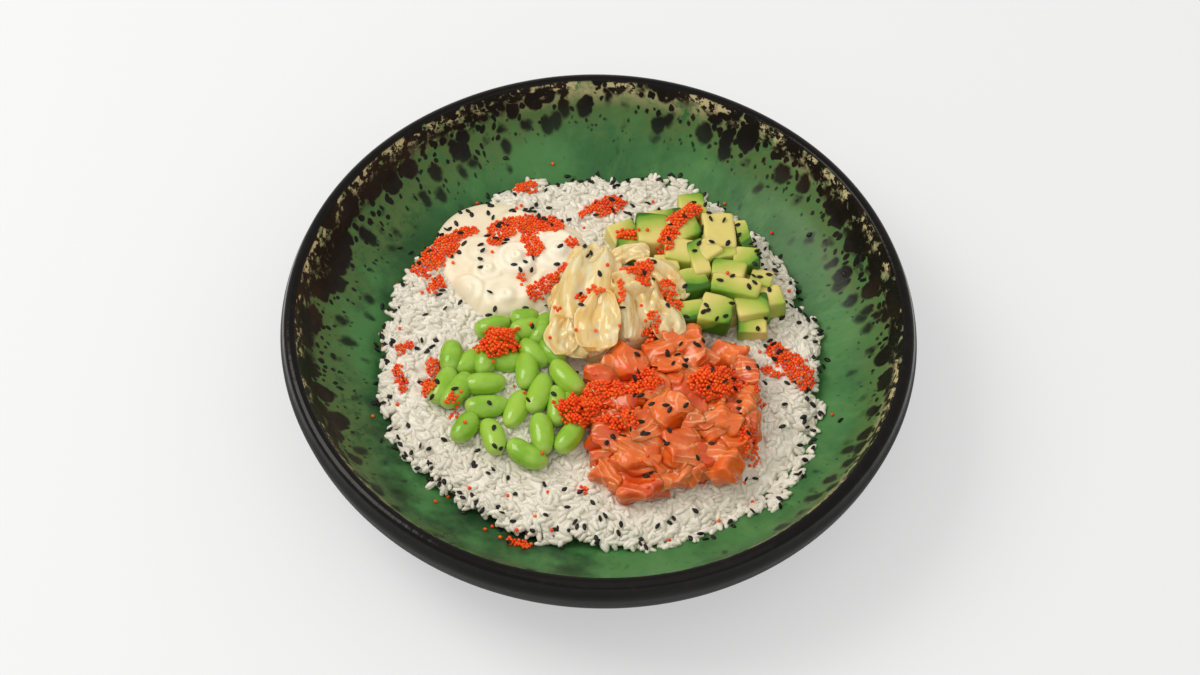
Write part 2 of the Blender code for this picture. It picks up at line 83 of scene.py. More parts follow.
def area_light(name, place, size, power):
    """Hang a square soft light that faces the bowl."""
    data = bpy.data.lights.new(name, "AREA")
    data.shape = "SQUARE"
    data.size = size
    data.energy = power
    data.color = LIGHT_COLOUR
    lamp = bpy.data.objects.new(name, data)
    lamp.location = place
    lamp.rotation_euler = Vector(place).to_track_quat("Z", "Y").to_euler()
    bpy.context.scene.collection.objects.link(lamp)


def pale_floor():
    """Lay the bare table top under the bowl."""
    mesh = bpy.data.meshes.new("floor")
    corners = [(x * FLOOR_REACH, y * FLOOR_REACH, 0) for x, y in ((-1, -1), (1, -1), (1, 1), (-1, 1))]
    mesh.from_pydata(corners, [], [(0, 1, 2, 3)])
    floor = bpy.data.objects.new("floor", mesh)
    floor.location.z = -0.0002
    bpy.context.scene.collection.objects.link(floor)
    paint = bpy.data.materials.new("table_top")
    paint.use_nodes = True
    shader = paint.node_tree.nodes["Principled BSDF"]
    shader.inputs["Base Color"].default_value = FLOOR_COLOUR
    shader.inputs["Roughness"].default_value = 0.9
    shader.inputs["Emission Color"].default_value = FLOOR_GLOW
    shader.inputs["Emission Strength"].default_value = 1.0
    mesh.materials.append(paint)


place_camera()
area_light("window", place=(-0.92, 0.2, 1.15), size=0.8, power=11.0)
area_light("room", place=(0.3, -0.7, 1.4), size=1.4, power=3.0)
pale_floor()
world = bpy.data.worlds.new("soft_room")
bpy.context.scene.world = world
world.use_nodes = True
world.node_tree.nodes["Background"].inputs["Color"].default_value = (*LIGHT_COLOUR, 1)
world.node_tree.nodes["Background"].inputs["Strength"].default_value = ROOM_GLOW
bpy.context.scene.view_settings.view_transform = "Standard"

# The bowl
# One thrown stoneware bowl: a low wide wall, a rounded lip and a foot ring.
# It is dipped in a green glaze that runs off the lip, over a black slip, and fired.
MM = 0.001
BOWL_STEPS = 288
LINE_STEPS = 8
BOWL_RIM = 52.0
LIP_CREST = (121.3, BOWL_RIM)
INSIDE_LINE = ((0, 16.5), (72, 18), (99.5, 27.5), (112, 37.5), (118.5, 50))
OUTSIDE_LINE = ((123.9, 49.6), (125, 43), (119, 30), (94, 14), (74, 5))
FOOT_LINE = ((73.5, 0.6), (72.7, 0), (68.8, 0), (68, 0.6), (66.5, 7.0), (64, 8.2), (0, 8.5))


def smooth_line(stations, steps):
    """Return points on a smooth curve through the stations, a few to each stretch."""
    ends = [stations[0]] + list(stations) + [stations[-1]]
    line = []
    for before, start, stop, after in zip(ends, ends[1:], ends[2:], ends[3:]):
        for step in range(steps):
            t = step / steps
            line.append(tuple(
                0.5 * (2 * b + (c - a) * t + (2 * a - 5 * b + 4 * c - d) * t ** 2
                       + (3 * b - a - 3 * c + d) * t ** 3)
                for a, b, c, d in zip(before, start, stop, after)))
    line.append(tuple(stations[-1]))
    return line


def make_piece(name, points, faces, facts=None):
    """Make an object from points in millimetres, with a fact or two stored at each point."""
    mesh = bpy.data.meshes.new(name)
    mesh.from_pydata([(x * MM, y * MM, z * MM) for x, y, z in points], [], faces)
    mesh.validate()
    for fact, values in (facts or {}).items():
        layer = mesh.attributes.new(fact, "FLOAT", "POINT")
        layer.data.foreach_set("value", values)
    mesh.shade_smooth()
    piece = bpy.data.objects.new(name, mesh)
    bpy.context.scene.collection.objects.link(piece)
    return piece


def ring_faces(rings, steps):
    """Return the faces over a middle point, rings of points around it, and a last middle point."""
    faces = []
    last = 1 + rings * steps
    for step in range(steps):
        after = (step + 1) % steps
        faces.append((0, 1 + step, 1 + after))
        for ring in range(rings - 1):
            low = 1 + ring * steps
            high = low + steps
            faces.append((low + step, high + step, high + after, low + after))
        end = 1 + (rings - 1) * steps
        faces.append((end + step, last, end + after))
    return faces


def start_finish(name):
    """Start a material, and return it with its shader and the socket for the place on the piece."""
    material = bpy.data.materials.new(name)
    material.use_nodes = True
    tree = material.node_tree
    place = wire("TexCoord", {}, tree).outputs["Object"]
    return material, tree.nodes["Principled BSDF"], place


def wire(kind, sockets, tree=None, **settings):
    """Add a node beside the ones that it joins, set it up, and join or set each of its sockets."""
    if tree is None:
        tree = next(
            value.id_data for value in sockets.values() if isinstance(value, bpy.types.NodeSocket))
    made = tree.nodes.new("ShaderNode" + kind)
    for name, value in settings.items():
        setattr(made, name, value)
    for name, value in sockets.items():
        if isinstance(value, bpy.types.NodeSocket):
            tree.links.new(value, made.inputs[name])
        else:
            made.inputs[name].default_value = value
    return made


def grain_noise(where, scale, detail=3.0, rough=0.55):
    """Return an uneven field from 0 to 1 with features about 1/scale metres wide."""
    sockets = {"Vector": where, "Scale": scale, "Detail": detail, "Roughness": rough}
    return wire("TexNoise", sockets).outputs["Fac"]


def cells(where, scale):
    """Return how far the nearest of many scattered spots is, with spots about 1/scale metres apart."""
    return wire("TexVoronoi", {"Vector": where, "Scale": scale}).outputs["Distance"]


def rise(value, low, high):
    """Return a smooth step from 0 at the low value to 1 at the high one."""
    sockets = {"Value": value, "From Min": low, "From Max": high}
    return wire("MapRange", sockets, interpolation_type="SMOOTHSTEP").outputs["Result"]


def slope(value, low, high, at_low, at_high):
    """Return a straight slope between two values, and level beyond them."""
    sockets = {
        "Value": value, "From Min": low, "From Max": high, "To Min": at_low, "To Max": at_high}
    return wire("MapRange", sockets).outputs["Result"]


def reckon(operation, *values):
    """Return the sum, product or the like of one or two values."""
    return wire("Math", dict(enumerate(values)), operation=operation).outputs["Value"]


def times(first, second):
    """Return one value times another."""
    return reckon("MULTIPLY", first, second)


def plus(first, second):
    """Return the sum of two values."""
    return reckon("ADD", first, second)


def minus(first, second):
    """Return one value less another."""
    return reckon("SUBTRACT", first, second)


def vectors(operation, *values):
    """Return what an operation makes of one or two vectors."""
    return wire("VectorMath", dict(enumerate(values)), operation=operation).outputs[0]


def paint_over(share, under, over):
    """Lay one colour over another by a share from 0 to 1."""
    mixed = wire("Mix", {"Factor": share, 6: under, 7: over}, data_type="RGBA", clamp_factor=True)
    return mixed.outputs[2]


def fact_at(near, fact):
    """Return a fact stored at the points of a mesh, for the material of a socket."""
    return wire("Attribute", {}, near.id_data, attribute_name=fact).outputs["Fac"]


def finish_with(shader, colour, **constants):
    """Give a shader its colour, and its constants under their plain names."""
    colour.id_data.links.new(colour, shader.inputs["Base Color"])
    sockets = {
        "rough": "Roughness", "shine": "Specular IOR Level", "glow": "Subsurface Weight",
        "glow_reach": "Subsurface Radius", "glow_depth": "Subsurface Scale",
        "coat": "Coat Weight", "coat_rough": "Coat Roughness"}
    for name, value in constants.items():
        shader.inputs[sockets[name]].default_value = value


def relief(shader, height, depth, strength):
    """Give a finish small relief of a depth in metres."""
    bump = wire("Bump", {"Height": height, "Distance": depth, "Strength": strength})
    height.id_data.links.new(bump.outputs["Normal"], shader.inputs["Normal"])


def make_bowl():
    """Turn the bowl, a little uneven as a thrown one is, and note how far the glaze ran."""
    inside = smooth_line(INSIDE_LINE + ((119.6, 51.5), LIP_CREST), LINE_STEPS)
    outside = smooth_line((LIP_CREST, (122.9, 51.3)) + OUTSIDE_LINE, LINE_STEPS)
    line = inside + outside[1:] + list(FOOT_LINE)
    crest = len(inside) - 1
    runs = [0.0]
    for here, there in zip(line, line[1:]):
        runs.append(runs[-1] + math.dist(here, there))
    runs = [runs[crest] - run for run in runs]
    points = [(0, 0, line[0][1])]
    facts = [runs[0]]
    for (radius, height), run in zip(line[1:-1], runs[1:-1]):
        for step in range(BOWL_STEPS):
            angle = math.tau * step / BOWL_STEPS
            lean = (height / BOWL_RIM) ** 2
            reach = radius - lean * (0.25 + 0.15 * math.sin(3 * angle + 1) + 0.1 * math.sin(7 * angle))
            points.append((reach * math.cos(angle), reach * math.sin(angle), height))
            facts.append(run)
    points.append((0, 0, line[-1][1]))
    facts.append(runs[-1])
    return make_piece("stoneware_bowl", points, ring_faces(len(line) - 2, BOWL_STEPS), {"run": facts})


def down_wall(ring, run, stretch):
    """Return a way round the bowl and down its wall, stretched as the glaze runs."""
    down = wire("CombineXYZ", {"X": 0.0, "Y": 0.0, "Z": times(run, stretch)}).outputs[0]
    return vectors("ADD", ring, down)


def reactive_glaze():
    """Green inside, a dark mottled band under a black lip, and matt charcoal outside."""
    material, shader, place = start_finish("reactive_green_glaze")
    run = fact_at(place, "run")
    apart = wire("SeparateXYZ", {0: place}).outputs
    flat = wire("CombineXYZ", {"X": apart["X"], "Y": apart["Y"], "Z": 0.0}).outputs[0]
    ring = vectors("MULTIPLY", vectors("NORMALIZE", flat), (0.11, 0.11, 0))

    cloud = grain_noise(place, 26, 5, 0.6)
    drips = grain_noise(down_wall(ring, run, 0.0004), 110, 4, 0.6)
    fine = grain_noise(place, 260, 4, 0.65)
    coarse = grain_noise(place, 45, 4, 0.6)
    green = paint_over(rise(cloud, 0.36, 0.62), (0.033, 0.125, 0.040, 1), (0.066, 0.205, 0.064, 1))
    light_share = times(rise(drips, 0.48, 0.78), 0.55)
    green = paint_over(light_share, green, (0.115, 0.26, 0.088, 1))
    warm = times(rise(apart["X"], 0.0, 0.11), rise(coarse, 0.48, 0.66))
    green = paint_over(times(warm, 0.35), green, (0.095, 0.20, 0.062, 1))
    # Painted shade: the inside green is darkened towards the front and the left, in cloudy patches.
    painted_shade_front_left = plus(apart["X"], times(apart["Y"], 0.8))
    painted_shade_front_left = times(rise(painted_shade_front_left, 0.02, -0.10), rise(cloud, 0.62, 0.38))
    green = paint_over(times(painted_shade_front_left, 0.95), green, (0.014, 0.044, 0.017, 1))

    region = grain_noise(place, 13, 2, 0.5)
    wander = times(minus(coarse, 0.5), 26.0)
    wander = plus(wander, times(minus(region, 0.5), 44.0))
    wander = plus(run, wander)
    to_side = times(reckon("ABSOLUTE", apart["X"]), 110.0)
    to_back = times(apart["Y"], 60.0)
    lean = minus(6.0, plus(to_side, to_back))
    wander = plus(wander, lean)
    swirl = wire("TexNoise", {"Vector": place, "Scale": 140.0, "Detail": 2.0}).outputs["Color"]
    swirl = vectors("MULTIPLY", swirl, (0.004, 0.004, 0.004))
    bent = vectors("ADD", down_wall(ring, run, 0.0007), swirl)
    blobs = cells(bent, 120.0)
    dots = cells(bent, 330.0)
    blob_reach = slope(wander, 9.0, 40.0, 0.57, 0.0)
    dot_reach = slope(wander, 9.0, 34.0, 0.45, 0.0)
    far = rise(wander, 12.0, 30.0)
    soft_edge = plus(times(far, 0.14), 0.05)
    blob_gap = minus(blobs, blob_reach)
    blob = rise(blob_gap, soft_edge, -0.06)
    dot = rise(minus(dots, dot_reach), soft_edge, -0.06)
    dark = reckon("MAXIMUM", blob, dot)
    soft_dark = times(rise(wander, 11.0, 5.0), rise(fine, 0.38, 0.50))
    dark = reckon("MAXIMUM", dark, soft_dark)
    brown = paint_over(rise(coarse, 0.42, 0.66), (0.0045, 0.0035, 0.003, 1), (0.018, 0.010, 0.007, 1))
    edge_colour = paint_over(rise(run, 5.0, 16.0), (0.38, 0.36, 0.19, 1), (0.085, 0.155, 0.048, 1))
    net_share = times(rise(wander, 36.0, 16.0), rise(fine, 0.36, 0.54))
    ground = paint_over(net_share, green, edge_colour)
    rim_share = times(rise(blob_gap, 0.32, 0.06), rise(wander, 34.0, 14.0))
    ground = paint_over(times(rim_share, 0.7), ground, edge_colour)
    spot_colour = paint_over(far, brown, (0.009, 0.024, 0.010, 1))
    inner = paint_over(dark, ground, spot_colour)

    crumbs = grain_noise(place, 300, 3, 0.7)
    gold_run = times(minus(coarse, 0.5), 4.0)
    gold_run = plus(run, gold_run)
    gold = times(rise(gold_run, 2.4, 3.0), rise(gold_run, 10.0, 5.0))
    gold = times(gold, rise(crumbs, 0.50, 0.56))
    gold = times(gold, rise(grain_noise(place, 90, 3), 0.48, 0.54))
    inner = paint_over(gold, inner, (0.52, 0.45, 0.25, 1))

    black = paint_over(rise(fine, 0.5, 0.75), (0.0025, 0.0025, 0.0025, 1), (0.007, 0.006, 0.0055, 1))
    coal = paint_over(rise(coarse, 0.35, 0.7), (0.0035, 0.0032, 0.003, 1), (0.0075, 0.0072, 0.0068, 1))
    lip = rise(run, 1.8, 2.8)
    below = rise(run, -4.5, -6.0)
    colour = paint_over(lip, paint_over(below, black, coal), inner)
    finish_with(shader, colour, shine=0.17)
    inside_sheen = slope(lip, 0.0, 1.0, 0.18, 0.34)
    sheen = wire("Mix", {"Factor": below, "A": inside_sheen, "B": 0.55}).outputs["Result"]
    sheen.id_data.links.new(sheen, shader.inputs["Roughness"])
    height = plus(times(drips, 0.7), times(coarse, 0.9))
    relief(shader, height, 0.0011, 0.45)
    return material


bowl = make_bowl()
bowl.data.materials.append(reactive_glaze())
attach(bowl, "root")
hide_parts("bowl")

# The rice
# Steamed short-grain rice, tipped in and spread to a ragged round bed.
# A lumpy body carries the loose grains, which stick out at the edge and lie on the glaze.
RICE_RADIUS = 90.0
RICE_TOP = 27.5
RICE_EDGE_TOP = 24.3
RICE_BASE = 19.5
RICE_SHOULDER = 77.0
GRAIN_LENGTH = 6.0
GRAIN_WIDTH = 2.5
GRAIN_FLATNESS = 0.92
LONG_SHARES = (0.82, 1.05)
WIDE_SHARES = (0.88, 1.12)
GRAIN_COUNT = 4100
EDGE_SHARE = 0.12
RICE_EDGE = (
    (-175, 86), (-158, 91), (-142, 91), (-119, 88), (-100, 90), (-88, 90), (-78, 93), (-70, 96),
    (-63, 93), (-53, 95), (-43, 99), (-35, 99), (-23, 95), (-6, 88), (12, 88), (27, 87), (43, 89),
    (57, 89), (69, 95), (78, 92), (86, 86), (99, 86), (110, 91), (118, 89), (131, 84), (150, 86),
    (168, 86))


def edge_reach(angle):
    """Return how far out the rice comes at an angle, in millimetres."""
    degrees = math.degrees(angle)
    degrees = (degrees + 175) % 360 - 175
    marks = RICE_EDGE + ((RICE_EDGE[0][0] + 360, RICE_EDGE[0][1]),)
    for (here, near), (there, far) in zip(marks, marks[1:]):
        if here <= degrees <= there:
            t = (degrees - here) / (there - here)
            return near + (far - near) * (3 * t * t - 2 * t ** 3)
    return near


def wall_level(radius):
    """Return the height of the bowl's inside wall at a distance from the middle."""
    line = smooth_line(INSIDE_LINE, LINE_STEPS)
    for (near, low), (far, high) in zip(line, line[1:]):
        if near <= radius <= far:
            return low + (high - low) * (radius - near) / max(far - near, 0.001)
    return line[-1][1]


WALL_LEVELS = [wall_level(radius) for radius in range(120)]


def rice_level(radius):
    """Return the top of the rice, or of the glaze beyond it."""
    fall = max(0.0, radius - RICE_SHOULDER) / (RICE_RADIUS - RICE_SHOULDER)
    level = RICE_TOP - (RICE_TOP - RICE_EDGE_TOP) * min(fall, 1.3) ** 2
    step = min(int(radius), 118)
    wall = WALL_LEVELS[step] + (WALL_LEVELS[step + 1] - WALL_LEVELS[step]) * (radius - step)
    return max(level, wall + 0.8)


def lumpy(x, y, scale, seed):
    """Return an even field of lumps from -1 to 1, by place in millimetres."""
    return noise.noise(Vector((x * scale, y * scale, seed)))


def mound_patch(name, centre, outline, level, base, rings, steps, shoulder=0.94):
    """Make a closed mound: an uneven outline, a top by rule of place, and a flat underside."""
    points = [(*centre, level(*centre))]
    for ring in range(1, rings + 1):
        for step in range(steps):
            angle = math.tau * step / steps
            reach = outline(angle) * ring / rings
            x = centre[0] + reach * math.cos(angle)
            y = centre[1] + reach * math.sin(angle)
            past = max(0.0, (ring / rings - shoulder) / (1 - shoulder))
            drop = 1 - math.sqrt(max(0.0, 1 - past ** 2))
            top = level(x, y)
            points.append((x, y, top + (base - top) * drop))
    points.append((*centre, base))
    return make_piece(name, points, ring_faces(rings, steps))


def rice_lumps(x, y):
    """Return how far the sticky lumps of rice rise and sink, dying out at the edge."""
    near, _ = noise.voronoi(Vector((x * 0.085, y * 0.085, 1.5)))
    clump = 0.55 - near[0]
    flatter = min(1.0, max(0.0, (97.0 - math.hypot(x, y)) / 12.0))
    return flatter * (2.6 * clump + 0.7 * lumpy(x, y, 0.3, 7.0))


def rice_top(x, y):
    """Return the top of the rice with its lumps."""
    return rice_level(math.hypot(x, y)) + rice_lumps(x, y)


def ragged_reach(angle):
    """Return the edge of the rice with its lumps and inlets."""
    x = math.cos(angle) * 90
    y = math.sin(angle) * 90
    return edge_reach(angle) + 3.8 * lumpy(x, y, 0.10, 2.0) + 3.4 * lumpy(x, y, 0.24, 8.0)


def rice_body():
    """Make the body of the rice, with lumps and the relief of packed grains."""
    def outline(angle):
        return min(ragged_reach(angle), 95.0) - 2.5

    return mound_patch(
        "rice_body", (0, 0), outline, lambda x, y: rice_top(x, y) + 0.2, RICE_BASE, rings=76,
        steps=400)


def grain_shape(around, along):
    """Return one plump grain of unit length along X, as points and triangles."""
    work = bmesh.new()
    bmesh.ops.create_uvsphere(work, u_segments=around, v_segments=along, radius=0.5)
    bmesh.ops.triangulate(work, faces=work.faces)
    points = np.array([(vert.co.z, vert.co.x, vert.co.y) for vert in work.verts])
    faces = [tuple(vert.index for vert in face.verts) for face in work.faces]
    work.free()
    return points, faces


def scatter(name, shape, copies):
    """Join copies of one shape into one piece, each at its own place and with its own tone."""
    points, faces = shape
    every_point = []
    every_face = []
    every_tone = []
    for index, (place, tone) in enumerate(copies):
        turned = points @ np.array(place.to_3x3()).T + np.array(place.translation)
        every_point.append(turned)
        start = index * len(points)
        every_face.extend((a + start, b + start, c + start) for a, b, c in faces)
        every_tone.extend([tone] * len(points))
    joined = np.concatenate(every_point).tolist()
    return make_piece(name, joined, every_face, {"tone": every_tone})


def placed(x, y, z, turn, sizes):
    """Return the matrix of a small thing: its place, its turn and its sizes."""
    return Matrix.LocRotScale(Vector((x, y, z)), Euler(turn), Vector(sizes))


TOPPING_BEDS = ((30, -33, 25, 28), (42, 36, 24, 28), (6, 13, 16, 22), (-34, 38, 28, 28))


def under_topping(x, y):
    """Say whether a place lies well under a heap, where no grain would show."""
    return any(
        math.hypot((x - middle_x) / wide, (y - middle_y) / deep) < 1
        for middle_x, middle_y, wide, deep in TOPPING_BEDS)


def rice_grains():
    """Press grains into the body: most lie along its lumps, and some stand proud."""
    draw = random.Random(41)
    copies = []
    while len(copies) < GRAIN_COUNT:
        angle = draw.uniform(-math.pi, math.pi)
        reach = ragged_reach(angle) - 1.0
        radius = reach * math.sqrt(draw.uniform(0.0, 1.0))
        if draw.random() < EDGE_SHARE:
            radius = reach - abs(draw.gauss(0, 3.5))
        x = radius * math.cos(angle)
        y = radius * math.sin(angle)
        if under_topping(x, y):
            continue
        level = rice_level(radius) + rice_lumps(x, y)
        normal = Vector((level - rice_top(x + 1, y), level - rice_top(x, y + 1), 1.0)).normalized()
        yaw = draw.uniform(0, math.tau)
        lie = normal.to_track_quat("Z", "Y") @ Euler((0, draw.gauss(0, 0.22), yaw)).to_quaternion()
        long = GRAIN_LENGTH * draw.uniform(*LONG_SHARES)
        wide = GRAIN_WIDTH * draw.uniform(*WIDE_SHARES)
        spot = Vector((x, y, level + draw.uniform(-0.75, 0.45)))
        sizes = Vector((long, wide, wide * GRAIN_FLATNESS))
        copies.append((Matrix.LocRotScale(spot, lie, sizes), draw.random()))
    return scatter("rice_grains", grain_shape(6, 5), copies)


def cooked_rice(loose):
    """Moist white starch: soft, a little glassy, and a shade greyer in some places at random."""
    name = "loose_rice" if loose else "packed_rice"
    material, shader, place = start_finish(name)
    cloud = grain_noise(place, 400 if loose else 260, 2)
    share = fact_at(place, "tone") if loose else rise(cloud, 0.3, 0.7)
    colour = paint_over(share, (0.69, 0.655, 0.57, 1), (0.85, 0.825, 0.745, 1))
    finish_with(
        shader, colour, rough=0.45, shine=0.3, glow=0.2, glow_reach=(1.0, 0.95, 0.85),
        glow_depth=0.0006)
    if not loose:
        relief(shader, cells(place, 330.0), -0.0012, 0.5)
    return material


rice_bed = rice_body()
rice_bed.data.materials.append(cooked_rice(loose=False))
loose_rice = rice_grains()
loose_rice.data.materials.append(cooked_rice(loose=True))
for piece in (rice_bed, loose_rice):
    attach(piece, "root")
    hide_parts("rice")

# The cream cheese
# Soft cream cheese piped in fat dollops that have run together into one low sheet.
# It sticks to the rice by itself, and each dollop keeps its own round shoulder.
TOPPING_BASE = 27.8
CREAM_MIDDLE = (-34, 38)
CREAM_BLEND = 2.2
DOLLOPS = (
    (-54, 22, 9, 4.5), (-35, 38.5, 10, 5.5), (-18, 43, 13, 5.5), (-58, 12, 7, 2.5),
    (-38, 20, 12, 4.0), (-34, 55, 12, 3.5), (-50, 42, 10, 3.0), (-20, 28, 9, 4.0),
    (-46, 33, 8, 4.0), (-26, 50, 8, 4.2))
BORDERS = (
    ("cream_cheese", "edamame", (-60, 5), (-24, 15.5)),
    ("cream_cheese", "pickled_ginger", (-24, 12), (0, 42)),
    ("cream_cheese", "avocado", (1, 40), (3, 62)),
    ("edamame", "pickled_ginger", (-10, -18), (-20, 14)),
    ("pickled_ginger", "salmon", (-10, -18), (36, 12)),
    ("pickled_ginger", "avocado", (33, 8), (12, 46)),
    ("avocado", "salmon", (28, 5), (72, 6)),
    ("edamame", "salmon", (-3, -62), (-5.5, -18)),
)


def keep_side(piece, heap):
    """Cut a heap's body where it meets the heaps beside it, and close the cuts."""
    work = bmesh.new()
    work.from_mesh(piece.data)
    for left, right, start, stop in BORDERS:
        if heap not in (left, right):
            continue
        along = Vector((stop[0] - start[0], stop[1] - start[1], 0)).normalized()
        outward = Vector((along.y, -along.x, 0)) * (1 if heap == left else -1)
        geometry = work.verts[:] + work.edges[:] + work.faces[:]
        bmesh.ops.bisect_plane(
            work, geom=geometry, plane_co=Vector((*start, 0)) * MM, plane_no=outward,
            clear_outer=True)
        open_edges = [edge for edge in work.edges if edge.is_boundary]
        if open_edges:
            bmesh.ops.holes_fill(work, edges=open_edges)
    work.to_mesh(piece.data)
    work.free()
    piece.data.shade_smooth()
    piece.data.set_sharp_from_angle(angle=math.radians(60))


def cream_cheese():
    """Pipe the dollops: each is a flat-topped cushion with a soft ring in it."""
    sides = [
        (Vector(start), (Vector(stop) - Vector(start)).normalized())
        for left, _, start, stop in BORDERS if left == "cream_cheese"]

    def level(x, y):
        total = 0.0
        for at_x, at_y, reach, height in DOLLOPS:
            away = math.hypot(x - at_x, y - at_y) / reach
            dome = math.sqrt(max(0.0, 1 - away ** 3)) + 0.2 * math.exp(-away ** 4)
            swirl = 0.22 * math.sin(away * 11.0) * max(0.0, 1 - away)
            total += math.exp(CREAM_BLEND * height * (0.9 * dome + swirl))
        lift = 2.6 + math.log(total) / CREAM_BLEND - 0.9 + 0.5 * lumpy(x, y, 0.16, 5.0)
        inward = min(abs((Vector((x, y)) - start).cross(way)) for start, way in sides)
        return TOPPING_BASE - 0.6 + (lift + 0.6) * math.sqrt(min(1.0, 0.05 + inward / 6.0))

    def outline(angle):
        return 33 + 4 * math.cos(2 * (angle + 0.75)) + 1.5 * math.sin(3 * angle)

    made = mound_patch(
        "cream_dollops", CREAM_MIDDLE, outline, level, TOPPING_BASE - 1.0, rings=90, steps=240,
        shoulder=0.74)
    keep_side(made, "cream_cheese")
    return made


def soft_cream():
    """Warm white, smooth and a little shiny, faintly cloudy, with painted shade in the low parts."""
    material, shader, place = start_finish("soft_cream")
    cloud = grain_noise(place, 70, 3)
    # Painted shade: the cream is darker where it lies lower, in the creases between the dollops.
    height = wire("SeparateXYZ", {0: place}).outputs["Z"]
    height = plus(height, times(cloud, 0.002))
    colour = paint_over(rise(height, 0.0325, 0.0365), (0.84, 0.75, 0.57, 1), (0.90, 0.845, 0.71, 1))
    finish_with(
        shader, colour, rough=0.34, shine=0.3, glow=0.25, glow_reach=(1.0, 0.8, 0.5),
        glow_depth=0.0015)
    relief(shader, grain_noise(place, 500, 3), 0.0002, 0.4)
    return material


cream = cream_cheese()
cream.data.materials.append(soft_cream())
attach(cream, "root")
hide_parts("cream_cheese")

# The soya beans
# Shelled green soya beans, boiled and still glossy, spooned on the rice in one heap.
# Most are plump and bright, a few are paler, and rice shows between them.
BEAN_WIDTH = 9.6
BEAN_THICKNESS = 8.8
BEANS_MIDDLE = (-34, -22)
BED_GRAINS = 620
BED_SIDES = (-60, -6)
BED_ENDS = (-56, 12)
BEANS = (
    (-58, -11, 90, 33, 15), (-51.5, -13.5, 45, 32, 12), (-45, -13, 100, 33.5, 13),
    (-60, -25, 70, 32.5, 17), (-54.5, -27.5, 60, 33.5, 18), (-44, -24, 8, 34, 17),
    (-42.5, -34, 10, 33, 17.5), (-50.5, -44, 60, 32.5, 14), (-39.5, -47.5, 110, 32.5, 17),
    (-31, -34.5, 75, 32.5, 18), (-22.5, -27.5, 76, 34, 19), (-15, -32.5, 95, 33, 17.5),
    (-20.5, -46, 100, 33.5, 18), (-26, -55, -30, 32.5, 18), (-9.8, -46.5, 60, 33, 16),
    (-12, -20.5, -50, 35.5, 19), (-28, -17, 92, 34, 17), (-25.5, -8.5, -40, 34, 15),
    (-18.5, -7.5, -50, 34, 13), (-29, 2.5, 20, 34.5, 13), (-30, 8.5, 10, 33, 12),
    (-22.5, 3, 70, 34, 16), (-42.5, 4, 20, 33, 15), (-36.5, -12, 0, 32.5, 15),
    (-37, -2.5, 30, 33, 14), (-10.5, -30.5, 90, 32, 14))


def bean_points(length, bend, swell):
    """Return one bean: plump, drawn in on one side, with a faint seam along that side."""
    work = bmesh.new()
    bmesh.ops.create_uvsphere(work, u_segments=28, v_segments=20, radius=0.5)
    bmesh.ops.triangulate(work, faces=work.faces)
    points = []
    along_facts = []
    for vert in work.verts:
        along = vert.co.z * 2
        plump = (1 - abs(along) ** 2.5) ** 0.42 / max(math.sqrt(1 - along ** 2), 0.05)
        plump = min(plump, 1.6) * (1 + swell * along)
        across = vert.co.y * BEAN_WIDTH * plump
        up = vert.co.x * BEAN_THICKNESS * plump
        seam = math.exp(-(up / 0.7) ** 2) if across < 0 else 0.0
        across += 0.35 * seam + bend * BEAN_WIDTH * (along ** 2 / 4 - 0.1)
        points.append((along / 2 * length, across, up))
        along_facts.append(along)
    faces = [tuple(vert.index for vert in face.verts) for face in work.faces]
    work.free()
    return points, faces, along_facts


def soya_beans():
    """Join the beans of the heap into one piece."""
    draw = random.Random(77)
    points = []
    faces = []
    tones = []
    ends = []
    for x, y, turn, z, length in BEANS:
        bend = draw.choice((0.35, 0.35, 0.18, 0.5))
        shape, triangles, along = bean_points(length, bend, draw.uniform(-0.08, 0.08))
        tilt = (draw.uniform(-0.5, 0.5), draw.uniform(-0.12, 0.12), math.radians(turn))
        place = placed(x, y, z, tilt, (1, 1, 1))
        start = len(points)
        points.extend(tuple(place @ Vector(point)) for point in shape)
        faces.extend(tuple(corner + start for corner in triangle) for triangle in triangles)
        tones.extend([draw.random()] * len(shape))
        ends.extend(along)
    return make_piece("soya_beans", points, faces, {"tone": tones, "along": ends})


def mound_level(centre, wide, deep, height, rise_over=1.2):
    """Return the rule for the height of a rounded mound over the rice."""
    def level(x, y):
        away = math.hypot((x - centre[0]) / wide, (y - centre[1]) / deep)
        return TOPPING_BASE + rise_over + height * max(0.0, 1 - away ** 3)
    return level


def oval(wide, deep, waves):
    """Return the rule for an uneven oval outline."""
    def outline(angle):
        plain = wide * deep / math.hypot(deep * math.cos(angle), wide * math.sin(angle))
        return plain * (1 + waves * math.sin(5 * angle + 0.7))
    return outline


def heap_core(name, heap, centre, outline, level, base=TOPPING_BASE - 0.5, rings=36):
    """Make what a heap lies on, and cut it where it meets the heaps beside it."""
    core = mound_patch(name, centre, outline, level, base, rings, steps=140)
    keep_side(core, heap)
    return core


def surface_tree(piece):
    """Return a search tree of a piece's finished surface, in millimetres."""
    graph = bpy.context.evaluated_depsgraph_get()
    mesh = piece.evaluated_get(graph).to_mesh()
    points = [vert.co / MM for vert in mesh.vertices]
    faces = [tuple(face.vertices) for face in mesh.polygons]
    tree = BVHTree.FromPolygons(points, faces)
    piece.evaluated_get(graph).to_mesh_clear()
    return tree


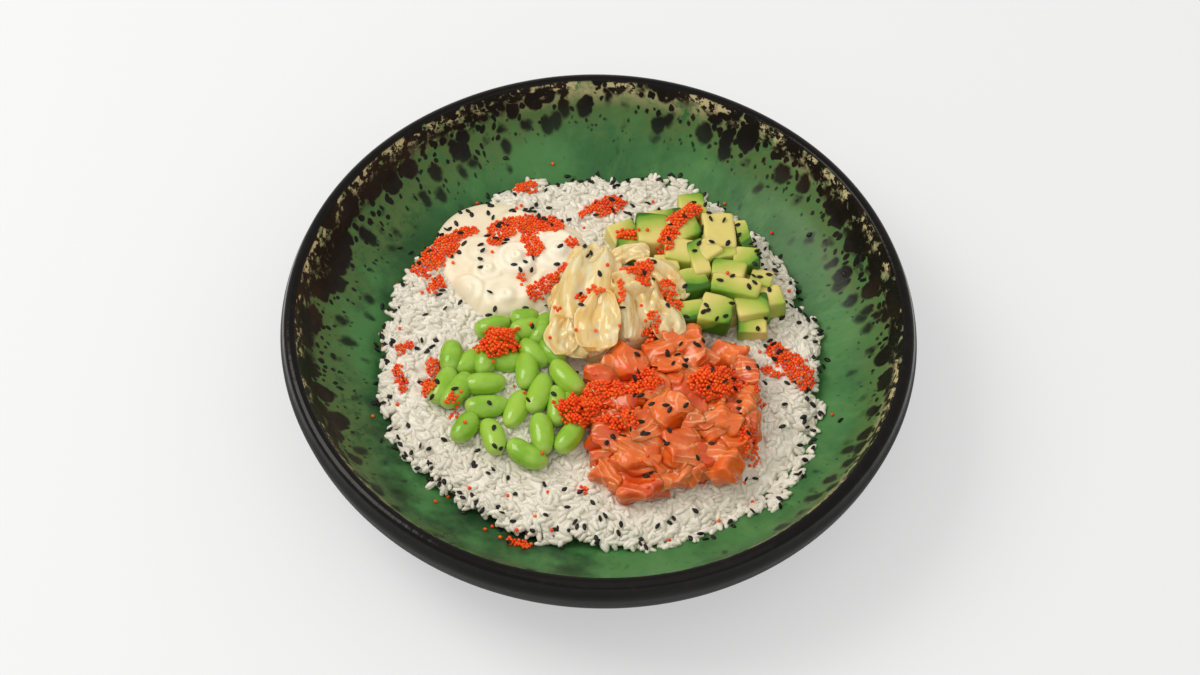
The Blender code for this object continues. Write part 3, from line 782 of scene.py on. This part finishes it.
def grains_between_beans(bed):
    """Press loose grains into the rice that shows between the beans."""
    draw = random.Random(43)
    tree = surface_tree(bed)
    copies = []
    for _ in range(BED_GRAINS):
        x = draw.uniform(*BED_SIDES)
        y = draw.uniform(*BED_ENDS)
        spot, normal, _, _ = tree.ray_cast(Vector((x, y, 100)), Vector((0, 0, -1)))
        if spot is None:
            continue
        lie = normal.to_track_quat("Z", "Y") @ Euler((0, 0, draw.uniform(0, math.tau))).to_quaternion()
        wide = GRAIN_WIDTH * draw.uniform(*WIDE_SHARES)
        sizes = Vector((GRAIN_LENGTH * draw.uniform(*LONG_SHARES), wide, wide * GRAIN_FLATNESS))
        spot += Vector((0, 0, draw.uniform(-0.8, 0.5)))
        copies.append((Matrix.LocRotScale(spot, lie, sizes), draw.random()))
    return scatter("rice_between_beans", grain_shape(6, 5), copies)


def green_skin():
    """Thin glossy green skin, paler and yellower towards the ends."""
    material, shader, place = start_finish("soya_bean_skin")
    tone = fact_at(place, "tone")
    end = reckon("ABSOLUTE", fact_at(place, "along"))
    cloud = grain_noise(place, 160, 3)
    colour = paint_over(tone, (0.19, 0.42, 0.02, 1), (0.32, 0.54, 0.04, 1))
    colour = paint_over(rise(cloud, 0.35, 0.75), colour, (0.30, 0.54, 0.06, 1))
    pale = times(rise(end, 0.6, 1.0), 0.45)
    colour = paint_over(pale, colour, (0.50, 0.68, 0.18, 1))
    very_pale = times(rise(tone, 0.97, 0.995), 0.4)
    colour = paint_over(very_pale, colour, (0.56, 0.70, 0.28, 1))
    finish_with(
        shader, colour, rough=0.17, shine=0.5, glow=0.2, glow_reach=(0.6, 1.0, 0.2),
        glow_depth=0.0015)
    relief(shader, grain_noise(place, 300, 3), 0.0003, 0.35)
    return material


beans = soya_beans()
beans.data.materials.append(green_skin())
bean_level = mound_level(BEANS_MIDDLE, 27, 34, 2.5, rise_over=0.6)
bean_rice = heap_core(
    "rice_under_beans", "edamame", BEANS_MIDDLE, oval(25, 32, 0.05),
    lambda x, y: bean_level(x, y) + 0.7 * lumpy(x, y, 0.33, 7.0), TOPPING_BASE - 1.0, 40)
bean_rice.data.materials.append(cooked_rice(loose=False))
bean_grains = grains_between_beans(bean_rice)
bean_grains.data.materials.append(loose_rice.data.materials[0])
for piece in (beans, bean_rice, bean_grains):
    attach(piece, "root")
    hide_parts("edamame")

# The salmon
# Raw salmon cut by hand into dice, tossed wet and heaped. Each chunk has slumped a little.
# Thin pale seams of fat run through the orange flesh at a different slant in each chunk.
SALMON_MIDDLE = (30, -33)
SALMON_DICE = (
    (11, -13.5, 18, 14, 11, -20), (34, -2, 14, 14, 11, 15), (52, -4.5, 14, 12, 11, -25),
    (38, -12.5, 11, 9, 9, 30), (57.5, -15.5, 9, 13, 11, 0), (28, -17, 13, 7, 9, 5),
    (1.5, -19, 12, 8, 10, 10), (46, -24, 14, 13, 9, 20), (29, -36, 15, 13, 10, 35),
    (39, -41, 9, 9, 9, 0), (49, -39, 13, 11, 10, -30), (18, -45, 15, 14, 10, 25),
    (4, -47, 12, 12, 12, -10), (17.5, -56, 17, 13, 11, -5), (33, -54, 14, 14, 11, 10),
    (18.5, -67, 18, 11, 9, 12), (6, -60.5, 13, 12, 9, -25), (33, -62.5, 13, 9, 8, 15),
    (48.5, -57, 16, 13, 10, -15), (54, -46.5, 11, 11, 9, 20), (58, -30, 10, 13, 10, 0),
    (10, -34.5, 14, 12, 10, -30), (1, -31, 13, 13, 10, 15), (21, -27, 14, 12, 9, -10),
    (36, -25, 13, 11, 9, -15), (23.5, -9, 11, 11, 9, 20), (58, -39, 10, 9, 8, 10))


def fill_gaps(dice, draw):
    """Return the small trimmings that lie low between the dice."""
    fillers = []
    for index, (x, y, *_, turn) in enumerate(dice):
        for other_x, other_y, *_ in dice[index + 1:]:
            if 8 < math.hypot(other_x - x, other_y - y) < 17:
                share = draw.uniform(0.42, 0.58)
                fillers.append((
                    x + (other_x - x) * share, y + (other_y - y) * share, draw.uniform(8, 13),
                    draw.uniform(5, 8), 8, turn + draw.uniform(-60, 60)))
    return fillers


def wobble(spot):
    """Return a steady uneven push at a place, a part for each axis from -1 to 1."""
    shifts = ((0, 0, 0), (31.7, 4.1, 8.3), (5.9, 57.3, 2.6))
    return Vector([noise.noise(spot + Vector(shift)) for shift in shifts])


def cut_dice(dice, level, draw, lean, uneven, sharpness, slump, cuts):
    """Cut the dice of a heap: blocks with uneven corners and worn edges, each placed."""
    points = []
    faces = []
    facts = {"deep_x": [], "deep_y": [], "deep_z": [], "tone": []}
    tints = random.Random(len(dice))
    for x, y, length, width, height, turn in dice:
        tilt = (draw.uniform(-lean, lean), draw.uniform(-lean, lean), math.radians(turn))
        work = bmesh.new()
        bmesh.ops.create_cube(work, size=2.0)
        corners = [
            (vert.co.copy(), [1 + uneven * draw.uniform(-1, 1) for _ in range(3)])
            for vert in work.verts]
        bmesh.ops.subdivide_edges(work, edges=work.edges[:], cuts=cuts, use_grid_fill=True)
        bmesh.ops.triangulate(work, faces=work.faces)
        place = placed(x, y, level(x, y) + height * 0.25, tilt, (1, 1, 1))
        half = Vector((length, width, height)) / 2
        grain = Euler((x * 0.7, y * 0.9, turn * 0.31 + x * 0.2)).to_matrix()
        start = len(points)
        for vert in work.verts:
            spot = vert.co.copy()
            shares = [
                math.prod(0.5 * (1 + spot[i] * corner[i]) for i in range(3)) for corner, _ in corners]
            shift = [sum(share * factors[i] for share, (_, factors) in zip(shares, corners))
                     for i in range(3)]
            norm = sum(abs(part) ** sharpness for part in spot) ** (1 / sharpness)
            spot /= norm
            local = Vector((spot[i] * half[i] * shift[i] for i in range(3)))
            local += wobble(Vector((x, y, turn)) + local * 0.16) * slump
            points.append(tuple(place @ local))
            depth = grain @ local
            for fact, value in zip(("deep_x", "deep_y", "deep_z"), depth):
                facts[fact].append(value)
        facts["tone"].extend([tints.random()] * len(work.verts))
        faces.extend(tuple(vert.index + start for vert in face.verts) for face in work.faces)
        work.free()
    return points, faces, facts


def salmon_flesh():
    """Wet orange flesh with pale seams, each chunk a little deeper or paler in colour."""
    material, shader, place = start_finish("salmon_flesh")
    deep = wire("CombineXYZ", {
        "X": fact_at(place, "deep_x"), "Y": fact_at(place, "deep_y"), "Z": fact_at(place, "deep_z")})
    seams = wire("TexWave", {
        "Vector": deep.outputs[0], "Scale": 0.11, "Distortion": 5.0, "Detail": 3.0,
        "Detail Scale": 1.0}, wave_type="BANDS").outputs["Fac"]
    cloud = grain_noise(place, 90, 4)
    fine = grain_noise(place, 420, 4)
    colour = paint_over(fact_at(place, "tone"), (0.62, 0.060, 0.004, 1), (0.80, 0.165, 0.020, 1))
    share = times(rise(cloud, 0.42, 0.72), 0.6)
    colour = paint_over(share, colour, (0.84, 0.25, 0.070, 1))
    seam = times(rise(seams, 0.80, 0.99), rise(cloud, 0.40, 0.62))
    colour = paint_over(times(seam, 0.65), colour, (0.90, 0.48, 0.24, 1))
    finish_with(
        shader, colour, rough=0.24, shine=0.3, glow=0.6, glow_reach=(1.0, 0.3, 0.08),
        glow_depth=0.0045, coat=0.5, coat_rough=0.08)
    height = plus(times(seams, 0.5), times(fine, 0.6))
    relief(shader, height, 0.0007, 0.6)
    return material


salmon_level = mound_level(SALMON_MIDDLE, 34, 37, 7.6)
salmon_finish = salmon_flesh()
salmon_dice = make_piece("salmon_dice", *cut_dice(
    SALMON_DICE, salmon_level, random.Random(11), lean=0.32, uneven=0.2, sharpness=6.0, slump=2.7,
    cuts=12))
salmon_trimmings = make_piece("salmon_trimmings", *cut_dice(
    fill_gaps(SALMON_DICE, random.Random(23)), lambda x, y: salmon_level(x, y) - 0.6,
    random.Random(12), lean=0.3, uneven=0.3, sharpness=7.0, slump=2.4, cuts=9))
salmon_bed = heap_core(
    "salmon_under_dice", "salmon", SALMON_MIDDLE, oval(28, 31, 0.04),
    lambda x, y: salmon_level(x, y) + 0.8 + 1.8 * lumpy(x, y, 0.16, 9.0))
for piece in (salmon_dice, salmon_trimmings, salmon_bed):
    piece.data.materials.append(salmon_finish)
    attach(piece, "root")
    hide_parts("salmon")

# The avocado
# Ripe avocado cut by hand into crisp dice and heaped, from pale yellow flesh at the heart
# of the fruit to bright green just under the peeled skin.
AVOCADO_MIDDLE = (42, 36)
AVOCADO_DICE = (
    (24.5, 59.5, 17, 6, 10, 15), (20, 51, 13, 17, 11, 5), (8, 53, 12, 10, 9, 25),
    (12, 45, 13, 9, 9, -10), (31, 40, 12, 11, 10, -5), (36, 66, 11, 11, 10, 10),
    (46.5, 50.5, 13, 18, 11, 5), (57, 51, 5, 14, 9, 15), (43, 41, 9, 9, 11, 40),
    (38.5, 37, 7, 16, 10, 15), (58.5, 38.5, 11, 9, 10, -5), (51, 32.5, 14, 8, 9, -10),
    (54, 24.5, 20, 8, 9, -10), (46, 13, 13, 14, 9, -10), (61, 16.5, 13, 11, 9, 10),
    (68, 21.5, 11, 10, 9, 15), (61, 10.5, 12, 10, 7, 0), (34.5, 12, 15, 9, 9, 5),
    (37, 26, 11, 11, 9, 20), (33, 53, 12, 12, 11, 30), (26, 34, 10, 9, 9, 10),
    (30, 22, 11, 9, 9, 40), (64, 30, 9, 8, 8, -15), (49, 42, 10, 9, 9, 15))


def avocado_flesh():
    """Pale yellow flesh that turns green, then dark green, towards the peeled side."""
    material, shader, place = start_finish("avocado_flesh")
    cloud = grain_noise(place, 120, 3)
    deep = plus(fact_at(place, "deep_x"), times(cloud, 3.0))
    shift = times(minus(fact_at(place, "tone"), 0.55), 9.0)
    deep = plus(deep, shift)
    colour = paint_over(rise(deep, -3.5, 3.5), (0.71, 0.61, 0.20, 1), (0.40, 0.49, 0.08, 1))
    colour = paint_over(rise(deep, 2.8, 6.0), colour, (0.17, 0.35, 0.03, 1))
    colour = paint_over(rise(deep, 6.0, 7.4), colour, (0.04, 0.14, 0.010, 1))
    finish_with(
        shader, colour, rough=0.36, shine=0.3, glow=0.25, glow_reach=(0.9, 1.0, 0.3),
        glow_depth=0.002)
    relief(shader, grain_noise(place, 380, 4), 0.0004, 0.4)
    return material


avocado_level = mound_level(AVOCADO_MIDDLE, 34, 36, 6)
avocado_finish = avocado_flesh()
avocado_dice = make_piece("avocado_dice", *cut_dice(
    AVOCADO_DICE, avocado_level, random.Random(5), lean=0.12, uneven=0.06, sharpness=14.0,
    slump=0.45, cuts=11))
avocado_bed = heap_core(
    "avocado_under_dice", "avocado", AVOCADO_MIDDLE, oval(22, 26, 0.05),
    lambda x, y: avocado_level(x, y) + 0.6 * lumpy(x, y, 0.14, 4.0))
for piece in (avocado_dice, avocado_bed):
    piece.data.materials.append(avocado_finish)
    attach(piece, "root")
    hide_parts("avocado")

# The pickled ginger
# Thin slices of pickled ginger, cut along the root, lifted out of their juice in one bunch
# and laid down folded, so that the thin edges stand up and light shows through them.
GINGER_THICKNESS = 0.6
GINGER_ACROSS = 26
GINGER_MIDDLE = (6, 13)
GINGER_SLICES = (
    (((0, 39, 42, 13), (-2, 29, 45.5, 18), (-5.5, 17.5, 45, 23), (-6.5, 7, 43, 24),
      (-5.5, -3, 40.5, 21), (-4, -11, 37.5, 15)), 2.2, 1.0),
    (((1, 15, 44.8, 8), (-0.5, 4, 44.3, 15), (-1, -4.5, 43, 17), (0, -11, 40.8, 12)), -2.2, 0.4),
    (((8.4, 26, 45.5, 8), (8.7, 14, 46.5, 9), (10.3, 4, 44.5, 9.5), (11, -4, 40.5, 8)), 4.5, 0.0),
    (((-9, 21, 41.5, 10), (-15.5, 14.5, 39.5, 13), (-19.5, 12, 36, 9)), 2.0, 0.3),
    (((13.5, 31, 43.5, 9), (22.4, 27.8, 44.5, 13), (29, 21.5, 43, 12), (32, 16.5, 40, 8)), 2.0, 0.9),
    (((17.7, 23, 45.5, 9), (19.6, 12, 44.8, 12), (20.5, 3.5, 40.5, 11)), 4.0, 0.7),
    (((3.5, 34, 42, 7), (12, 37.5, 43.5, 8), (19, 37.5, 41.5, 7)), 1.5, 0.3),
    (((-13, 24, 40.5, 9), (-8, 31, 43.5, 13), (0, 36.5, 44.0, 10)), 1.5, 0.9),
    (((4, 22, 46.0, 11), (13, 20, 46.6, 13), (21, 17, 45.0, 9)), 2.5, 1.1),
    (((-13, 3, 42.5, 9), (-14.5, -4, 40.5, 13), (-12, -11, 37.5, 9)), -1.2, 0.5),
    (((23, 12, 43.0, 9), (27, 5.5, 41.5, 13), (28.5, -1, 38.0, 9)), 1.2, 1.0))


def ginger_slice(name, stations, curl, ripple, seed):
    """Make one slice: a place and a width at each station, sides that curl down or up."""
    line = smooth_line(stations, 10)
    places = [Vector(station[:3]) for station in line]
    points = []
    for index, point in enumerate(places):
        t = index / (len(line) - 1)
        ahead = places[min(index + 1, len(line) - 1)] - places[max(index - 1, 0)]
        side = ahead.cross(Vector((0, 0, 1))).normalized()
        end = min(t, 1 - t) / 0.12
        half = line[index][3] / 2 * (math.sqrt(1 - (1 - end) ** 2) if end < 1 else 1.0)
        half = max(half, 0.8) * (1.1 + 0.07 * math.sin(11 * t + seed))
        for step in range(GINGER_ACROSS + 1):
            s = 2 * step / GINGER_ACROSS - 1
            drop = curl * s * s + ripple * math.sin(2 * math.pi * s + 4 * t)
            drop += 1.9 * noise.noise(Vector((s * 1.8, t * 3.2, seed)))
            drop += 0.9 * abs(s) ** 3 * math.sin(13 * t + seed + 2 * s)
            drop += 0.8 * noise.noise(Vector((s * 5.0, t * 6.0, seed + 3)))
            points.append(tuple(point + side * half * s - Vector((0, 0, drop))))
    faces = []
    for row in range(len(line) - 1):
        for step in range(GINGER_ACROSS):
            corner = row * (GINGER_ACROSS + 1) + step
            above = corner + GINGER_ACROSS + 1
            faces.append((corner, corner + 1, above + 1, above))
    made = make_piece(name, points, faces)
    shell = made.modifiers.new("thickness", "SOLIDIFY")
    shell.thickness = GINGER_THICKNESS * MM
    shell.offset = 0.0
    soften = made.modifiers.new("soft_edges", "SUBSURF")
    soften.levels = 1
    soften.render_levels = 1
    return made


def ginger_flesh():
    """Straw-coloured and glassy, with fine fibres along the slice."""
    material, shader, place = start_finish("ginger_flesh")
    stretched = wire("Mapping", {"Vector": place, "Scale": (1.0, 0.25, 1.0)}).outputs[0]
    fibres = grain_noise(stretched, 420, 3)
    cloud = grain_noise(place, 60, 3)
    colour = paint_over(rise(cloud, 0.35, 0.65), (0.84, 0.53, 0.19, 1), (0.93, 0.71, 0.37, 1))
    dark_fibres = times(rise(fibres, 0.46, 0.30), 0.6)
    colour = paint_over(dark_fibres, colour, (0.68, 0.40, 0.13, 1))
    colour = paint_over(rise(fibres, 0.5, 0.8), colour, (0.95, 0.83, 0.56, 1))
    finish_with(
        shader, colour, rough=0.2, shine=0.35, glow=0.5, glow_reach=(1.0, 0.75, 0.4),
        glow_depth=0.004, coat=0.5, coat_rough=0.06)
    relief(shader, fibres, 0.0004, 0.5)
    return material


ginger_finish = ginger_flesh()
ginger_pieces = [
    ginger_slice(f"ginger_slice_{index + 1}", stations, curl, ripple, index * 3.7)
    for index, (stations, curl, ripple) in enumerate(GINGER_SLICES)]
ginger_level = mound_level(GINGER_MIDDLE, 21, 27, 13)
ginger_bed = heap_core(
    "ginger_under_slices", "pickled_ginger", GINGER_MIDDLE, oval(19, 25, 0.04),
    lambda x, y: ginger_level(x, y) - 1.5 + 1.6 * lumpy(x, y * 0.5, 0.16, 6.0))
for piece in ginger_pieces + [ginger_bed]:
    piece.data.materials.append(ginger_finish)
    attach(piece, "root")
    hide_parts("pickled_ginger")

# The roe
# Bright orange-red fish eggs spooned over the top. They are about a millimetre and a half
# across and sticky, so they lie in small thick clumps, with some eggs rolled away.
EGG_RADIUS = 0.73
EGG_SPACING = 1.43
EGG_STRAY = 0.28
ROW_SHARE = 0.866
BRIDGE_SAG = 0.6
ROE_PATCHES = (
    (-43, 54, -21, 57.5, 4.8, 0), (-31, 53, -28, 42, 3.5, 0), (-27, 22, -17, 29, 3.6, 0),
    (-41, -6.5, -39, -6, 7.6, 4.5), (-8, -37, -6, -36, 7.0, 3.5), (-2, -30, 20, -26, 5.0, 0.8),
    (4, -40, 12, -45, 4.6, 0.6), (44, -25, 48, -23, 8.0, 3.0), (12, 26, 17, 27, 4.0, 1.0),
    (15, 24, 17, 19, 2.8, 0.4), (-8, 12.5, -7.5, 12.5, 2.0, 0), (-4, 16, -1, 14.5, 1.9, 0),
    (8, 18, 8, 10, 1.6, 0), (26, 20, 29, 14, 2.9, 0.5), (20, -1, 21, 4, 3.2, 0.8),
    (36, 61, 31, 57, 4.6, 1.2), (30, 56, 25, 42, 3.5, 0.5), (8, 50, 12, 50, 3.0, 0.3),
    (-2, 69, 4, 72, 4.2, 0.5), (-9, 66, -7, 67, 2.4, 0), (-36, 79, -31, 80, 3.2, 1.0),
    (-72, 36, -65, 45, 5.8, 1.5), (-68, 24, -66, 28, 2.8, 0.5), (-60, 51, -54, 53, 2.6, 0),
    (70, 2, 73, 0, 3.4, 0.5), (75, -3, 82, -12, 4.8, 1.0), (68, -8, 70, -10, 2.4, 0),
    (60, -44, 60, -50, 3.4, 0.5), (-65, -13, -64.5, -16, 3.2, 1.0), (-67, -22, -66, -27, 2.8, 0.5),
    (-56, -34, -55, -36, 2.6, 0.5), (-79, -15, -76, -24, 1.9, 0), (-78, -6, -75, -4, 2.1, 0),
    (-33, 30, -32, 29, 1.5, 0), (-14, 47, -12, 46, 2.2, 0), (-46, 47, -42, 48, 1.7, 0),
    (18, -62, 19, -63, 1.4, 0), (-4, -68, -3, -68, 1.6, 0), (-30, -90, -24, -91, 2.0, 0),
    (63, -24, 64, -25, 2.2, 0))
STRAY_EGGS = 80
STRAY_REACH = 98


def top_under(x, y):
    """Return the highest point and its normal straight under a place."""
    best = None
    for tree in food_trees:
        spot, normal, _, _ = tree.ray_cast(Vector((x, y, 80)), Vector((0, 0, -1)))
        if spot and (best is None or spot.z > best[0].z):
            best = (spot, normal)
    return best


def roe_places(draw):
    """Fill each ragged patch with closely packed eggs, and strew a few about."""
    spots = []
    for from_x, from_y, to_x, to_y, spread, heap in ROE_PATCHES:
        low = (min(from_x, to_x) - 1.5 * spread, min(from_y, to_y) - 1.5 * spread)
        high = (max(from_x, to_x) + 1.5 * spread, max(from_y, to_y) + 1.5 * spread)
        length = math.hypot(to_x - from_x, to_y - from_y)
        rows = int((high[1] - low[1]) / (EGG_SPACING * ROW_SHARE)) + 1
        columns = int((high[0] - low[0]) / EGG_SPACING) + 1
        for row in range(rows):
            for column in range(columns):
                x = low[0] + (column + 0.5 * (row % 2)) * EGG_SPACING
                x += draw.uniform(-EGG_STRAY, EGG_STRAY)
                y = low[1] + row * EGG_SPACING * ROW_SHARE + draw.uniform(-EGG_STRAY, EGG_STRAY)
                t = ((x - from_x) * (to_x - from_x) + (y - from_y) * (to_y - from_y)) / length ** 2
                t = min(1.0, max(0.0, t))
                away = math.hypot(x - from_x - t * (to_x - from_x), y - from_y - t * (to_y - from_y))
                ragged = spread * (1.0 + 0.36 * lumpy(x, y, 0.23, 4.0) + 0.2 * lumpy(x, y, 0.6, 9.0))
                if away > ragged:
                    continue
                rise_here = heap * (1 - (away / ragged) ** 2)
                spots.append((x, y, rise_here, ragged - away))
                if heap > 2 and rise_here > 0.8:
                    spots.append((x + EGG_SPACING / 2, y + 0.35, rise_here - 1.2, ragged - away))
    for _ in range(STRAY_EGGS):
        angle = draw.uniform(0, math.tau)
        reach = STRAY_REACH * math.sqrt(draw.random())
        spots.append((reach * math.cos(angle), reach * math.sin(angle), 0.0, 0.0))
    return spots


def lay_roe():
    """Lay the eggs side by side over the food, bridging its gaps and heaped in the thick clumps."""
    draw = random.Random(19)
    copies = []
    for x, y, heap, inward in roe_places(draw):
        ground = top_under(x, y)
        if ground is None:
            continue
        size = EGG_RADIUS * draw.uniform(0.9, 1.08)
        around = [top_under(x + dx, y + dy) for dx, dy in ((3, 0), (-3, 0), (0, 3), (0, -3))]
        bridge = sum((spot or ground)[0].z for spot in around) / 4 - BRIDGE_SAG
        level = ground[0].z
        if inward > EGG_SPACING:
            level = max(level, bridge)
        level += heap + size * 0.7 + draw.uniform(-0.2, 0.2)
        turn = (0, 0, draw.uniform(0, 3))
        copies.append((placed(x, y, level, turn, (size, size, size)), draw.random()))
    work = bmesh.new()
    bmesh.ops.create_icosphere(work, subdivisions=2, radius=1.0)
    egg = (np.array([tuple(vert.co) for vert in work.verts]),
           [tuple(vert.index for vert in face.verts) for face in work.faces])
    work.free()
    return scatter("roe", egg, copies)


def egg_skin():
    """Clear orange-red beads that glow where they are thin."""
    material, shader, place = start_finish("roe_bead")
    colour = paint_over(fact_at(place, "tone"), (0.80, 0.045, 0.004, 1), (0.97, 0.150, 0.012, 1))
    finish_with(
        shader, colour, rough=0.2, shine=0.3, glow=0.5, glow_reach=(1.0, 0.25, 0.06),
        glow_depth=0.0012)
    return material


food_trees = [surface_tree(piece) for piece in [
    bowl, rice_bed, loose_rice, cream, beans, bean_rice, salmon_dice, salmon_bed, avocado_dice,
    avocado_bed, ginger_bed] + ginger_pieces]
roe = lay_roe()
roe.data.materials.append(egg_skin())
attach(roe, "root")

# The sesame seeds
# Black sesame seeds shaken over the whole bowl. They are flat drops with one pointed end,
# and more of them have ended up on the rice near the edge than anywhere else.
SEED_SIZES = (3.0, 1.8, 1.0)
SEED_SHOWERS = (
    (0, 0, 60, 92, 175), (-34, 38, 0, 30, 36), (42, 36, 0, 30, 40), (30, -33, 0, 33, 44),
    (6, 13, 0, 18, 4), (-34, -22, 0, 28, 6), (0, 0, 95, 106, 8))
EDGE_SEEDS = 130
SEED_LIFT = 0.35


def seed_shape():
    """Return one drop-shaped seed of unit length along X."""
    points, faces = grain_shape(8, 6)
    narrow = 1 - 0.55 * np.clip(points[:, 0] + 0.1, 0, 1) ** 1.2
    points = np.stack((points[:, 0], points[:, 1] * narrow, points[:, 2] * narrow), axis=1)
    return points, faces


def shake_seeds():
    """Lay each seed flat on whatever is under it."""
    draw = random.Random(29)
    spots = []
    for middle_x, middle_y, inner, outer, count in SEED_SHOWERS:
        for _ in range(count):
            angle = draw.uniform(0, math.tau)
            reach = math.sqrt(draw.uniform(inner ** 2, outer ** 2))
            spots.append((middle_x + reach * math.cos(angle), middle_y + reach * math.sin(angle)))
    for _ in range(EDGE_SEEDS):
        angle = draw.uniform(-math.pi, math.pi)
        reach = ragged_reach(angle) + draw.gauss(-1.2, 1.6)
        spots.append((reach * math.cos(angle), reach * math.sin(angle)))
    copies = []
    for x, y in spots:
        ground = top_under(x, y)
        if ground is None:
            continue
        spot, normal = ground
        if normal.z < 0:
            normal = -normal
        flat = (normal + Vector((0, 0, 0.6))).normalized().to_track_quat("Z", "Y")
        roll = draw.choice((0, 0, 0, 1.2))
        turn = flat @ Euler((roll, draw.gauss(0, 0.15), draw.uniform(0, math.tau))).to_quaternion()
        sizes = [size * draw.uniform(0.88, 1.08) for size in SEED_SIZES]
        spot = spot + Vector((0, 0, SEED_LIFT))
        copies.append((Matrix.LocRotScale(spot, turn, Vector(sizes)), draw.random()))
    return scatter("sesame_seeds", seed_shape(), copies)


def black_hull():
    """Nearly black, with a dull shine."""
    material, shader, place = start_finish("sesame_hull")
    colour = paint_over(fact_at(place, "tone"), (0.003, 0.003, 0.003, 1), (0.012, 0.010, 0.010, 1))
    finish_with(shader, colour, rough=0.45, shine=0.3)
    relief(shader, grain_noise(place, 1500, 2), 0.0001, 0.4)
    return material


food_trees.append(surface_tree(roe))
seeds = shake_seeds()
seeds.data.materials.append(black_hull())
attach(seeds, "root")
